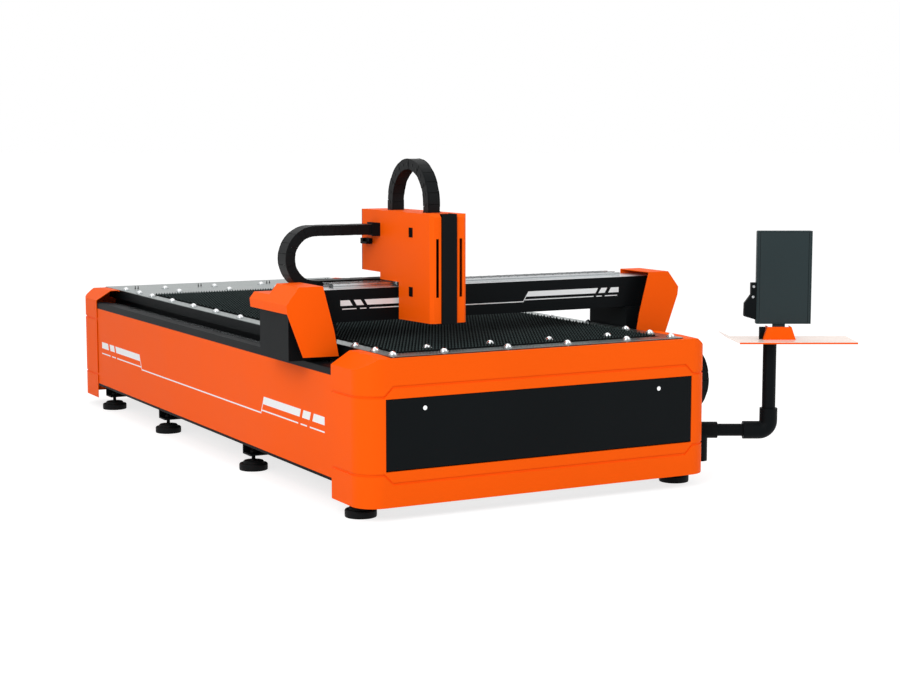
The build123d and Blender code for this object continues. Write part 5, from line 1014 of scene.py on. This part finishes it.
@dataclass
class BallUnits(Assembly):
    """Ball transfer units on the table: flanged cups, balls, rings and screws."""

    radius: float = 0.019
    drop: float = 0.007
    cup_radius: float = 0.027
    cup_height: float = 0.009
    flange: float = 0.003
    ball_sides: int = 24
    cup_sides: int = 32
    screws: int = 3
    screw_turn: float = 0.7
    screw_radius: float = 0.0018
    screw_height: float = 0.0012
    screw_margin: float = 0.0028
    edge: float = 0.8825
    middle: float = 0.580
    inner: float = 0.190
    front_row: float = 0.090
    second_row: float = 0.2825
    rear_rows: tuple[float, ...] = (0.710, 0.400)
    side_front: float = 0.300
    side_first: float = 0.545
    side_last: float = 0.990
    side_steps: int = 8

    def build(self) -> None:
        """Builds every unit."""
        balls = Piece("transfer_balls_fine")
        cups = Piece("ball_cups_fine")
        screws = Piece("ball_unit_screws")
        seat = TABLE_TOP + self.cup_height
        collar = TABLE_TOP + self.flange
        lip = math.sqrt(self.radius ** 2 - self.drop ** 2)
        profile = [
            (0.0, TABLE_TOP), (self.cup_radius, TABLE_TOP), (self.cup_radius, collar - 0.0006),
            (self.cup_radius - 0.0006, collar), (lip + 0.0040, collar),
            (lip + 0.0032, seat - 0.0016), (lip + 0.0022, seat), (lip + 0.0003, seat),
            (lip + 0.0003, seat - 0.003), (0.0, seat - 0.003),
        ]
        balls.ball((0, 0, seat - self.drop), self.radius, self.ball_sides)
        cups.turned(profile, self.cup_sides)
        reach = self.cup_radius - self.screw_margin
        for index in range(self.screws):
            angle = math.tau * index / self.screws + self.screw_turn
            place = (reach * math.cos(angle), reach * math.sin(angle), collar)
            screws.rod(place, UP, self.screw_radius, self.screw_height, 10)
        for piece in (balls, cups, screws):
            piece.spread(self._places())
        obj = self.add(balls, Slot.CHROME, "bed")
        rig.replaces(obj, "transfer_balls")
        obj = self.add(cups, Slot.RAIL, "bed")
        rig.replaces(obj, "ball_cups")
        self.add(screws, Slot.RAIL, "bed", Dress.BLACK_OXIDE)

    def _places(self) -> list[Flat]:
        """Gives the places of all ball units.

        Returns:
            Their (x, y) in the machine's frame.
        """
        across = [side * x for x in (self.inner, self.middle, self.edge) for side in BOTH_SIDES]
        rows = [self.front_row] + [BED_LENGTH - back for back in self.rear_rows]
        places = [(x, from_front(row)) for row in rows for x in across]
        step = (BED_LENGTH - self.side_last - self.side_first) / self.side_steps
        stations = [self.side_first + step * index for index in range(self.side_steps + 1)]
        for station in [self.side_front] + stations:
            places += [(side * self.edge, from_front(station)) for side in BOTH_SIDES]
        for x in (self.inner, self.middle):
            places += [(side * x, from_front(self.second_row)) for side in BOTH_SIDES]
        return places


@dataclass
class Fasteners(Assembly):
    """Rail and table screws, stop pins, dark strips on the panels' lower edges and liners of the cover's windows."""

    rail_pitch: float = 0.060
    rail_margin: float = 0.020
    rail_lines: Flat = (-0.950, 0.950)
    beam_rail_front: float = from_front(0.712)
    beam_rail_inset: float = 0.0115
    screw_sides: int = 10
    table_pitch: float = 0.350
    table_first: float = 0.190
    table_count: int = 12
    table_across: float = 0.852
    rear_stations: Flat = (4.075, 4.700)
    rear_across: tuple[float, ...] = (0.12, 0.42, 0.72)
    pin_places: tuple[float, ...] = (-0.776, -0.280, 0.280, 0.776)
    pin_gap: float = 0.011
    pin_station: float = 4.575
    pin_nut: float = 0.004
    window_across: float = 0.1085
    window_levels: Flat = (1.475, 1.150)
    window_front: float = from_front(0.503)
    window_half_width: float = 0.0245
    window_half_height: float = 0.0265
    rib_pitch: float = 0.0066
    rib: float = 0.0009

    def build(self) -> None:
        """Builds all of them."""
        beam_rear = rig.box("x_rails")[1][1] - self.beam_rail_inset
        self._rails("guide_rails", Axis.Y, self.rail_lines, "bed")
        self._rails("x_rails", Axis.X, (self.beam_rail_front, beam_rear), "gantry")
        self._table()
        self._pins()
        self._liners()
        self._edge_trim()

    def _rails(self, node: str, axis: Axis, lines: Flat, body: str) -> None:
        """Builds the screws of a pair of rails.

        Args:
            node: the rails' node.
            axis: direction of the rails.
            lines: places of the two rails across that direction.
            body: the body that they ride on.
        """
        low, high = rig.box(node)
        along = 0 if axis is Axis.X else 1
        length = high[along] - low[along]
        count = int((length - 2 * self.rail_margin) / self.rail_pitch) + 1
        spare = (length - self.rail_pitch * (count - 1)) / 2
        piece = Piece(node + "_screws")
        top = high[2]
        profile = [
            (0.0058, top - 0.001), (0.0058, top + 0.0002), (0.0050, top + 0.0004),
            (0.0026, top + 0.0004), (0.0024, top - 0.0002),
        ]
        piece.turned(profile, self.screw_sides)
        stations = [low[along] + spare + self.rail_pitch * index for index in range(count)]
        places = [(station, line) for line in lines for station in stations]
        piece.spread(places if axis is Axis.X else [(line, station) for station, line in places])
        self.add(piece, Slot.RAIL, body, Dress.BLACK_OXIDE)

    def _table(self) -> None:
        """Builds the screws of the table plates."""
        piece = Piece("table_screws")
        top = TABLE_TOP
        profile = [
            (0.0050, top - 0.001), (0.0050, top + 0.0002), (0.0044, top + 0.0005),
            (0.0022, top + 0.0005), (0.0020, top - 0.0002),
        ]
        piece.turned(profile, self.screw_sides)
        stations = [self.table_first + self.table_pitch * index for index in range(self.table_count)]
        places = [(self.table_across, station) for station in stations]
        places += [(x, station) for station in self.rear_stations for x in self.rear_across]
        piece.spread((side * x, from_front(station)) for side in BOTH_SIDES for x, station in places)
        self.add(piece, Slot.PLATE, "bed", Dress.SCREW_STEEL)

    def _pins(self) -> None:
        """Builds the pairs of stop pins on the rear plate."""
        piece = Piece("rear_stop_pins")
        piece.rod((0, 0, TABLE_TOP), UP, 0.0055, self.pin_nut, 6, 0.0006)
        piece.rod((0, 0, TABLE_TOP + self.pin_nut), UP, 0.003, 0.016, 12, 0.0008)
        y = from_front(self.pin_station)
        piece.spread((x + side * self.pin_gap, y) for x in self.pin_places for side in BOTH_SIDES)
        self.add(piece, Slot.PLATE, "bed", Dress.BLACK_OXIDE)

    def _edge_trim(self) -> None:
        """Builds a dark strip along each side panel's lower edge."""
        piece = Piece("panel_edge_strip")
        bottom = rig.box("side_panels")[0][2]
        low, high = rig.box("rail_ledges")
        start = (PANEL_FACE - 0.006, low[1], bottom - 0.004)
        piece.box(start, (PANEL_FACE + 0.0012, high[1], bottom + 0.012), 0.001, 2)
        self.add(piece, Slot.FRAME, "bed", Dress.RUBBER, mirrored=True)

    def _liners(self) -> None:
        """Builds the ribbed liners behind the windows of the carriage's cover."""
        piece = Piece("window_liners")
        front = self.window_front - self.window_half_width
        rear = self.window_front + self.window_half_width
        half = self.window_half_height
        for side in BOTH_SIDES:
            x = CARRIAGE_X + side * self.window_across
            for middle in self.window_levels:
                piece.box((x - 0.0005, front, middle - half), (x + 0.0005, rear, middle + half))
                for index in range(1, 8):
                    z = middle - half + self.rib_pitch * index
                    start = (x - self.rib, front, z - self.rib)
                    piece.box(start, (x + self.rib, rear, z + self.rib), 0.0003)
        self.add(piece, Slot.BLACK, "carriage", Dress.FILTER_MESH)


@dataclass
class ToothedRacks(Assembly):
    """Racks of the gantry and of the carriage."""

    pitch: float = 0.00628
    depth: float = 0.0045
    width: float = 0.012
    chunk: int = 20
    foot_share: float = 0.14
    tip_share: float = 0.36

    def build(self) -> None:
        """Builds the racks of both axes."""
        low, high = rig.box("racks")
        inner = high[0] - self.width
        piece = Piece("racks_fine")
        self._rack(piece, low[1], high[1], lambda s, t: (inner + t, s, low[2]), high[2] - low[2])
        obj = self.add(piece, Slot.RAIL, "bed", smooth=False, mirrored=True)
        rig.replaces(obj, "racks")
        low_x, high_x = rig.box("x_rack")
        piece = Piece("x_rack_fine")
        height = high_x[2] - low_x[2]
        self._rack(piece, low_x[0], high_x[0], lambda s, t: (s, low_x[1] + t, low_x[2]), height)
        obj = self.add(piece, Slot.RAIL, "gantry", smooth=False)
        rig.replaces(obj, "x_rack")

    def _rack(
        self, piece: Piece, start: float, stop: float,
        place: Callable[[float, float], Point], height: float,
    ) -> None:
        """Adds one rack, a stretch of teeth at a time.

        Args:
            piece: mesh that takes it.
            start: the rack's first end.
            stop: its last end.
            place: gives the place in space of a point (along, outwards).
            height: its height.
        """
        teeth = int((stop - start) / self.pitch)
        step = (stop - start) / teeth
        root = self.width - self.depth
        for first in range(0, teeth, self.chunk):
            last = min(teeth, first + self.chunk)
            outline: list[Flat] = [(start + step * last, 0.0), (start + step * first, 0.0)]
            for tooth in range(first, last):
                s = start + step * tooth
                outline += [
                    (s, root), (s + self.foot_share * step, root), (s + self.tip_share * step, self.width),
                    (s + (1 - self.tip_share) * step, self.width), (s + (1 - self.foot_share) * step, root),
                ]
            outline.append((start + step * last, root))
            piece.prism([place(s, t) for s, t in outline], (0, 0, height))


# Cable chains

@dataclass(frozen=True)
class ChainSize:
    """Cross-section and links of a cable chain.

    Attributes:
        thickness: height of the section.
        width: width of the section.
        bend: radius of the turn at the section's middle.
        pitch: usual length of a link.
        wall: thickness of the side plates.
        step: how much further out every second link stands.
        lap: how far a wide link's side plates reach over its pivots.
        groove: gap between the covers of two links.
        cover: thickness of the covers.
        edge: rounding of the plates' edges.
        pin_share: radius of the pivot pins against half the thickness.
        pin_head: height of the pins' heads.
    """

    thickness: float
    width: float
    bend: float
    pitch: float = 0.055
    wall: float = 0.004
    step: float = 0.0012
    lap: float = 0.011
    groove: float = 0.0016
    cover: float = 0.004
    edge: float = 0.0006
    pin_share: float = 0.32
    pin_head: float = 0.0008

    @property
    def turn_links(self) -> int:
        """Number of links in a half turn."""
        return max(4, round(math.pi * self.bend / self.pitch))


def on_curve(along: float, height: float, curve: float) -> Flat:
    """Gives a point over a chain's centre line.

    Args:
        along: distance along the centre line.
        height: height over it.
        curve: one over the chain's bending radius there, or 0.

    Returns:
        The point's (x, z).
    """
    if curve <= 0.0:
        return along, height
    radius = 1 / curve
    angle = along / radius
    return (radius + height) * math.sin(angle), (radius + height) * math.cos(angle) - radius


def arc_outline(reach: float, low: float, high: float, curve: float, steps: int = 4) -> list[Flat]:
    """Gives the outline of a strip that follows a chain's centre line.

    Args:
        reach: half of its length along the centre line.
        low: height of its inner edge over the centre line.
        high: height of its outer edge.
        curve: one over the chain's bending radius there, or 0.
        steps: parts of each curved edge.

    Returns:
        Its (x, z) corners.
    """
    count = steps if curve > 0.0 else 1
    ahead = [reach * (2 * step / count - 1) for step in range(count + 1)]
    return [on_curve(t, low, curve) for t in ahead] + [on_curve(-t, high, curve) for t in ahead]


class ChainPiece(Piece):
    """Mesh of a stretch of cable chain while its links are added."""

    def __init__(self, name: str, size: ChainSize) -> None:
        """Starts an empty mesh for a chain of this size."""
        super().__init__(name)
        self.size = size

    def _link(
        self, middle: Vector, along: Vector, outward: Vector, pitch: float, wide: bool, curve: float = 0.0,
    ) -> None:
        """Adds one link: two side plates, two covers and the pins.

        Args:
            middle: the link's middle.
            along: direction of the chain.
            outward: direction of the chain's outer face.
            pitch: distance between the link's pivots.
            wide: whether its side plates reach over the pivots.
            curve: one over the chain's bending radius there, or 0.
        """
        size = self.size
        turn = Matrix((along, outward.cross(along), outward)).transposed().to_4x4()
        place = Matrix.Translation(middle) @ turn
        half_t, half_w = size.thickness / 2, size.width / 2
        inset = 0.0 if wide else size.step
        reach = pitch / 2 + (size.lap if wide else -size.lap - size.groove / 2)
        plate = arc_outline(reach, inset / 2 - half_t, half_t - inset / 2, curve)
        ends = BOTH_SIDES if wide else ()
        for side in BOTH_SIDES:
            low, high = sorted((side * (half_w - inset), side * (half_w - inset - size.wall)))
            self.slab(plate, low, high, place, size.edge)
            for end in ends:
                x, z = on_curve(end * pitch / 2, 0.0, curve)
                self.rod(
                    (x, side * half_w, z), (0, side, 0), half_t * size.pin_share, size.pin_head, 16, 0.0003,
                    at=place,
                )
        across = half_w - size.wall - size.step
        outer = half_t - size.step
        for low, high in ((-outer, size.cover - outer), (outer - size.cover, outer)):
            cover = arc_outline(pitch / 2 - size.groove / 2, low, high, curve)
            self.slab(cover, -across, across, place, size.edge)

    def run(self, start: Point, along: Vector, outward: Vector, length: float, wide: bool) -> None:
        """Adds a straight run of links.

        Args:
            start: middle of the chain's section at the run's start.
            along: direction of the run.
            outward: direction of the chain's outer face.
            length: the run's length.
            wide: whether the first link is a wide one.
        """
        count = max(1, round(length / self.size.pitch))
        pitch = length / count
        for index in range(count):
            middle = Vector(start) + along * (pitch * (index + 0.5))
            self._link(middle, along, outward, pitch, (index % 2 == 0) == wide)

    def half_turn(self, centre: Point, bulge: Vector, up: Vector) -> None:
        """Adds the half turn of a chain, which starts with a wide link.

        Args:
            centre: centre of the turn, in the chain's middle plane.
            bulge: direction in which the turn bulges.
            up: direction from the lower to the upper run.
        """
        bend = self.size.bend
        step = math.pi / self.size.turn_links
        for index in range(self.size.turn_links):
            angle = -math.pi / 2 + step * (index + 0.5)
            outward = bulge * math.cos(angle) + up * math.sin(angle)
            along = up * math.cos(angle) - bulge * math.sin(angle)
            middle = Vector(centre) + outward * bend
            self._link(middle, along, outward, bend * step, index % 2 == 0, 1 / bend)


@dataclass(frozen=True)
class ChainPath:
    """Course of a chain that turns back over itself.

    Attributes:
        node: first part of the names of its three nodes.
        size: its section.
        axis: direction of its runs.
        still: body of the lower run's far end.
        moving: body of the upper run's far end.
        bend: body of the turn.
        across: place of its middle across the runs.
        underside: height of the lower run's underside.
        turn: place of the turn's centre along the axis.
        fixed: place of the lower run's far end.
        end: place of the upper run's far end.
    """

    node: str
    size: ChainSize
    axis: Axis
    still: str
    moving: str
    bend: str
    across: float
    underside: float
    turn: float
    fixed: float
    end: float

    def place(self, along: float, level: float) -> Point:
        """Gives the place in space of a point of the chain's middle plane."""
        return (along, self.across, level) if self.axis is Axis.X else (self.across, along, level)


@dataclass
class CableChains(Assembly):
    """The cable chains of the gantry, the carriage and the head."""

    x_size: ChainSize = ChainSize(0.058, 0.114, 0.153)
    y_size: ChainSize = ChainSize(0.060, 0.100, 0.170)
    z_size: ChainSize = ChainSize(0.060, 0.075, 0.217)
    arch_middle: float = from_front(0.683)
    arch_top: float = 1.628
    arch_foot: float = 1.535

    def build(self) -> None:
        """Builds all chains."""
        self._flat_chain(ChainPath(
            node="x_chain", size=self.x_size, axis=Axis.X, still="gantry", moving="carriage", bend="x_bend",
            across=from_front(0.943), underside=1.140, turn=-0.960, fixed=-0.200, end=-0.585,
        ))
        self._flat_chain(ChainPath(
            node="y_chain", size=self.y_size, axis=Axis.Y, still="bed", moving="gantry", bend="y_bend",
            across=HALF_WIDTH + 0.012 + self.y_size.width / 2, underside=0.385,
            turn=from_front(0.372), fixed=from_front(2.010), end=from_front(0.850),
        ))
        self._arch()

    def _blended(
        self, piece: Piece, node: str, bodies: tuple[str, str], fixed: Point, moving: Point,
    ) -> None:
        """Finishes a stretch of chain that is drawn out between two bodies.

        Args:
            piece: the stretch.
            node: the node that it replaces.
            bodies: the bodies of its two ends.
            fixed: place of its first end.
            moving: place of its last end.
        """
        obj = piece.finish(self.palette.material(Slot.CHAIN))
        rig.slot(obj, Slot.CHAIN.value)
        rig.blend(obj, *bodies, fixed, moving)
        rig.replaces(obj, node)

    def _flat_chain(self, path: ChainPath) -> None:
        """Builds the turn and both runs of a chain.

        Args:
            path: the chain's course.
        """
        size, up, along = path.size, Axis.Z.vector, path.axis.vector
        low = path.underside + size.thickness / 2
        high = low + 2 * size.bend
        turn = ChainPiece(path.node + "_bend_fine", size)
        turn.half_turn(path.place(path.turn, low + size.bend), -along, up)
        obj = self.add(turn, Slot.CHAIN, path.bend)
        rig.replaces(obj, path.node + "_bend")
        bodies = (path.still, path.moving)
        lower = ChainPiece(path.node + "_lower_fine", size)
        reach = path.fixed - path.turn
        lower.run(path.place(path.turn, low), along, -up, reach, False)
        ends = path.place(path.fixed, low), path.place(path.turn - reach, low)
        self._blended(lower, path.node + "_lower", bodies, *ends)
        upper = ChainPiece(path.node + "_upper_fine", size)
        reach = path.end - path.turn
        upper.run(path.place(path.turn, high), along, up, reach, size.turn_links % 2 == 0)
        ends = path.place(path.turn - reach, high), path.place(path.end, high)
        self._blended(upper, path.node + "_upper", bodies, *ends)

    def _arch(self) -> None:
        """Builds the chain that arches over the carriage to the head."""
        size, up, back = self.z_size, Axis.Z.vector, Axis.Y.vector
        piece = ChainPiece("z_chain_fine", size)
        piece.half_turn((CARRIAGE_X, self.arch_middle, self.arch_top), up, back)
        for side in BOTH_SIDES:
            start = (CARRIAGE_X, self.arch_middle + side * size.bend, self.arch_top)
            wide = side > 0 and size.turn_links % 2 == 0
            piece.run(start, -up, side * back, self.arch_top - self.arch_foot, wide)
        rear = (CARRIAGE_X, self.arch_middle + size.bend, self.arch_top)
        front = (CARRIAGE_X, self.arch_middle - size.bend, self.arch_top)
        self._blended(piece, "z_chain", ("carriage", "z_head"), rear, front)


# Console

@dataclass
class Console(Assembly):
    """Shelf, stand and monitor of the operator console, measured in the arm's own frame."""

    shelf_left: float = ARM_REACH - 0.212
    shelf_right: float = ARM_REACH + 0.475
    shelf_front: float = -0.170
    shelf_rear: float = 0.150
    shelf_low: float = 0.822
    shelf_sheet: float = 0.003
    lip_reach: float = 0.064
    lip_rise: float = 0.030
    shelf_bolt: float = 0.045
    stand_foot: Flat = (ARM_REACH - 0.045, ARM_REACH + 0.143)
    stand_head: Flat = (ARM_REACH - 0.020, ARM_REACH + 0.117)
    stand_top: float = 0.900
    stand_half: float = 0.042
    stand_sheet: float = 0.004
    rod_level: float = 0.880
    clamp_top: float = 0.896
    clamp_half: float = 0.015
    monitor_middle: float = ARM_REACH + 0.072
    monitor_half: float = 0.159
    monitor_low: float = 0.915
    monitor_high: float = 1.455
    monitor_front: float = -0.026
    monitor_rear: float = 0.026
    border: float = 0.008
    lug_middle: float = ARM_REACH + 0.0485
    vents: int = 9
    holder_front: float = -0.024
    holder_depth: float = 0.044

    @property
    def shelf_top(self) -> float:
        """Height of the shelf's upper face."""
        return self.shelf_low + self.shelf_sheet

    def build(self) -> None:
        """Builds the shelf, the stand, the monitor and the remote's holder."""
        self._shelf()
        self._stand()
        self._monitor()
        self._screen()
        self._holder()

    def _put(
        self, piece: Piece, slot: Slot, body: str, dress: Dress | None = None, smooth: bool = True,
    ) -> bpy.types.Object:
        """Finishes a piece and turns it from the arm's frame to its place.

        Args:
            piece: the modelled piece.
            slot: its record slot.
            body: the body that it moves with.
            dress: its material, if it isn't the slot's own.
            smooth: whether shallow edges are shaded smooth.

        Returns:
            The object.
        """
        turn = Matrix.Translation((*ARM_PIVOT, 0)) @ Matrix.Rotation(ARM_TURN, 4, "Z")
        return self.add(piece, slot, body, dress, smooth=smooth, turn=turn)

    def _shelf(self) -> None:
        """Builds the shelf's sheet, and its hem with the bolts."""
        left, right = self.shelf_left, self.shelf_right
        front, rear = self.shelf_front, self.shelf_rear
        low, top = self.shelf_low, self.shelf_top
        sheet = Piece("console_shelf_sheet")
        section = [
            (left - self.lip_reach, low + self.lip_rise), (left, low), (right, low), (right, top),
            (left + 0.001, top), (left - self.lip_reach, top + self.lip_rise),
        ]
        sheet.prism([(u, front, z) for u, z in section], (0, rear - front, 0), 0.0006)
        # Painted highlight: the orange sheet takes a near-white material for the light that floods its top.
        obj = self._put(sheet, Slot.ORANGE, "console", Dress.PALE_SHELF, smooth=False)
        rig.replaces(obj, "console_shelf")
        hem = Piece("console_shelf_hem")
        hem.box((left + 0.010, front - 0.0003, low - 0.008), (right, front + 0.003, low + 0.0016), 0.0006)
        hem.box((right - 0.002, front, low - 0.0015), (right + 0.0003, rear, low + 0.0020), 0.0004)
        for u in (ARM_REACH - self.shelf_bolt, ARM_REACH + self.shelf_bolt):
            for v in (-self.shelf_bolt, self.shelf_bolt):
                hem.rod((u, v, low + 0.0002), DOWN, 0.007, 0.004, 12, 0.001)
        obj = self._put(hem, Slot.ORANGE, "console")
        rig.replaces(obj, "console_shelf")

    def _stand(self) -> None:
        """Builds the monitor's folded stand and its clamp."""
        (left, right), (top_left, top_right) = self.stand_foot, self.stand_head
        low, high, half, sheet = self.shelf_top, self.stand_top, self.stand_half, self.stand_sheet
        edge = 0.0008
        stand = Piece("monitor_stand_sheet")
        face = [(left, low), (right, low), (top_right, high), (top_left, high)]
        stand.prism([(u, -half, z) for u, z in face], (0, sheet, 0), edge)
        for foot, head, inwards in ((left, top_left, sheet), (right, top_right, -sheet)):
            cheek = [(foot, low), (foot + inwards, low), (head + inwards, high), (head, high)]
            stand.prism([(u, -half + 0.002, z) for u, z in cheek], (0, 2 * half - 0.002, 0), edge)
        stand.box((left + 0.002, -half + 0.002, low), (right - 0.002, half, low + sheet), edge)
        stand.rod((top_left, 0, self.rod_level), (1, 0, 0), 0.008, top_right - top_left, 24, 0.001)
        obj = self._put(stand, Slot.ORANGE, "console")
        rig.replaces(obj, "monitor_stand")
        clamp = Piece("monitor_stand_clamp")
        top, half = self.clamp_top, self.clamp_half
        outline = [(left - 0.018, low), (left - 0.0005, low), (left + 0.017, top), (left - 0.018, top)]
        clamp.prism([(u, -half, z) for u, z in outline], (0, 2 * half, 0), 0.002, 2)
        clamp.rod((left - 0.010, -half, low + 0.043), (0, -1, 0), 0.009, 0.006, 20, 0.001)
        for index in range(6):
            z = low + 0.010 + 0.010 * index
            clamp.box((left - 0.0186, 0.002 - half, z), (left - 0.0175, half - 0.002, z + 0.004), 0.0003)
        obj = self._put(clamp, Slot.BLACK, "console")
        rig.replaces(obj, "monitor_stand")

    def _sides(self) -> Flat:
        """Gives the places of the monitor's left and right side."""
        return self.monitor_middle - self.monitor_half, self.monitor_middle + self.monitor_half

    def _monitor(self) -> None:
        """Builds the monitor's case with its frame, lug, vents and screws."""
        left, right = self._sides()
        low, high = self.monitor_low, self.monitor_high
        front, rear, border = self.monitor_front, self.monitor_rear, self.border
        near, inset = front + 0.005, 0.0005
        case = Piece("monitor_case")
        case.box((left, front + 0.004, low), (right, rear, high), 0.006, 3)
        for (u, z), (u_end, z_end) in (
            ((left + inset, low + inset), (left + border, high - inset)),
            ((right - border, low + inset), (right - inset, high - inset)),
            ((left + border, low + inset), (right - border, low + border)),
            ((left + border, high - border), (right - border, high - inset)),
        ):
            case.box((u, front, z), (u_end, near, z_end), 0.002, 2)
        lug = self.lug_middle
        case.box((lug - 0.035, -0.016, low - 0.051), (lug + 0.035, 0.016, low + 0.004), 0.003, 2)
        for row in range(self.vents):
            z = low + 0.12 + 0.03 * row
            case.box((left + 0.06, rear - 0.0005, z), (right - 0.06, rear + 0.0005, z + 0.006))
        for u in (left + 0.02, right - 0.02):
            for z in (low + 0.02, high - 0.02):
                case.rod((u, rear - 0.0005, z), (0, 1, 0), 0.004, 0.0015, 12, 0.0005)
        obj = self._put(case, Slot.SLATE, "monitor_body")
        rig.replaces(obj, "monitor")

    def _screen(self) -> None:
        """Builds the glass and the two seams at its sides."""
        left, right = self._sides()
        front, border = self.monitor_front, self.border
        low, high = self.monitor_low + border, self.monitor_high - border
        glass = Piece("monitor_screen")
        glass.box((left + border, front + 0.0005, low), (right - border, front + 0.0045, high), 0.001, 2)
        self._put(glass, Slot.SLATE, "monitor_body", Dress.DARK_GLASS)
        seams = Piece("monitor_seams")
        for u in (left + 0.016, right - 0.021):
            seams.box((u, front + 0.0002, low + 0.001), (u + 0.0022, front + 0.001, high - 0.001))
        self._put(seams, Slot.BLACK, "monitor_body")

    def _holder(self) -> None:
        """Builds the remote in its holder on the monitor's left side."""
        side, low, front = self._sides()[0], self.monitor_low, self.holder_front
        outline = [
            (side, low + 0.024), (side, low + 0.240), (side - 0.032, low + 0.240),
            (side - 0.032, low + 0.170), (side - 0.068, low + 0.120), (side - 0.070, low + 0.045),
        ]
        piece = Piece("remote_holder")
        piece.prism([(u, front, z) for u, z in outline], (0, self.holder_depth, 0), 0.003, 2)
        self._put(piece, Slot.BLACK, "monitor_body")
        knobs = Piece("remote_knobs")
        for u, z in ((side - 0.017, low + 0.218), (side - 0.020, low + 0.158)):
            knobs.rod((u, front, z), (0, -1, 0), 0.008, 0.004, 20, 0.001)
            knobs.rod((u, front - 0.004, z), (0, -1, 0), 0.0055, 0.006, 20, 0.001)
        self._put(knobs, Slot.BLACK, "monitor_body", Dress.SCREW_STEEL)


# Stage

@dataclass(frozen=True)
class Lamp:
    """Square area light that looks at a point."""

    name: str
    place: Point
    aim: Point
    size: float
    power: float


LAMPS = (
    Lamp("key", (-7.5, -7.0, 6.0), (0.0, -1.0, 0.7), 5.0, 460.0),
    Lamp("fill", (6.5, -7.0, 4.5), (0.4, -1.0, 0.8), 5.0, 170.0),
    Lamp("top", (0.0, 0.5, 8.0), (0.0, 0.0, 0.8), 7.0, 130.0),
)
WHITE: Point = (1.0, 1.0, 1.0)


def looking(direction: Vector) -> Euler:
    """Gives the turn of a lamp or a camera that looks in a direction."""
    return direction.to_track_quat("-Z", "Y").to_euler()


@dataclass
class Studio:
    """Floor, lights, backdrop and camera."""

    floor_size: float = 400.0
    floor_bounce: Point = (0.72, 0.72, 0.72)
    floor_shade: Point = (0.42, 0.42, 0.42)
    floor_glow: float = 0.76
    ambient: float = 0.68
    camera_place: Point = (-4.945, -10.5, 2.0)
    camera_yaw: float = math.radians(28.4)
    camera_pitch: float = math.radians(6.54)
    lens: float = 70.4
    sensor: float = 36.0
    view_depth: float = 200.0

    def build(self) -> None:
        """Builds everything round the machine."""
        self._floor()
        self._world()
        self._lights()
        self._camera()
        bpy.context.scene.view_settings.view_transform = "Standard"

    def _seen(self, graph: Graph) -> Value:
        """Gives 1 for the rays that show the background: camera, glossy and transmission.

        Args:
            graph: the tree that takes the nodes.

        Returns:
            1 for those rays, and 0 for the others.
        """
        path = graph.node("ShaderNodeLightPath")
        camera, glossy, through = (
            graph.out(path, name) for name in ("Is Camera Ray", "Is Glossy Ray", "Is Transmission Ray")
        )
        return (camera + glossy + through).above(0.5)

    def _floor(self) -> None:
        """Builds a floor that looks white and still takes the shadow."""
        piece = Piece("studio_floor")
        bmesh.ops.create_grid(piece.mesh, x_segments=1, y_segments=1, size=self.floor_size / 2)
        material = bpy.data.materials.new("studio_floor")
        graph = Graph(material)
        bounce = graph.node("ShaderNodeBsdfDiffuse", sockets={"Color": self.floor_bounce})
        shade = graph.node("ShaderNodeBsdfDiffuse", sockets={"Color": self.floor_shade})
        glow = graph.node("ShaderNodeEmission", sockets={"Color": WHITE, "Strength": self.floor_glow})
        bright = graph.node("ShaderNodeAddShader", sockets={0: graph.out(shade), 1: graph.out(glow)})
        mix = graph.node("ShaderNodeMixShader", sockets={
            0: self._seen(graph), 1: graph.out(bounce), 2: graph.out(bright),
        })
        graph.node("ShaderNodeOutputMaterial", sockets={"Surface": graph.out(mix)})
        obj = piece.finish(material, smooth=False)
        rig.stage(obj)

    def _world(self) -> None:
        """Builds a world that looks white and lights the machine less."""
        world = bpy.data.worlds.new("studio")
        graph = Graph(world)
        seen = self._seen(graph)
        strength = seen + self.ambient * (1.0 - seen)
        sky = graph.node("ShaderNodeBackground", sockets={"Color": WHITE, "Strength": strength})
        graph.node("ShaderNodeOutputWorld", sockets={"Surface": graph.out(sky)})
        bpy.context.scene.world = world

    def _lights(self) -> None:
        """Hangs the lamps."""
        for lamp in LAMPS:
            light = bpy.data.lights.new(lamp.name, "AREA")
            light.shape = "SQUARE"
            light.size = lamp.size
            light.energy = lamp.power
            obj = bpy.data.objects.new(lamp.name, light)
            obj.location = lamp.place
            obj.rotation_euler = looking(Vector(lamp.aim) - Vector(lamp.place))
            bpy.context.scene.collection.objects.link(obj)
            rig.stage(obj)

    def _camera(self) -> None:
        """Sets up the camera at the photograph's place."""
        data = bpy.data.cameras.new("photo")
        data.sensor_width = self.sensor
        data.lens = self.lens
        data.clip_end = self.view_depth
        obj = bpy.data.objects.new("photo", data)
        obj.location = self.camera_place
        yaw, pitch = self.camera_yaw, self.camera_pitch
        level = math.cos(pitch)
        direction = Vector((math.sin(yaw) * level, math.cos(yaw) * level, -math.sin(pitch)))
        obj.rotation_euler = looking(direction)
        bpy.context.scene.collection.objects.link(obj)
        bpy.context.scene.camera = obj


def main() -> None:
    """Builds the machine's sub-assemblies and the studio round them."""
    logging.basicConfig(level=logging.INFO, format="%(message)s")
    palette = Palette()
    for kind in (
        SlatTable, Stripes, Feet, BallUnits, Fasteners, ToothedRacks, CableChains, Console, CadDress,
    ):
        kind(palette).build()
        log.info("built %s", kind.__name__)
    Studio().build()


if __name__ == "__main__":
    main()
    with open("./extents.json", "w") as out:
        low, high = size_before
        new_low, new_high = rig.bounds()
        json.dump({"before": [list(low), list(high)], "after": [list(new_low), list(new_high)]}, out)
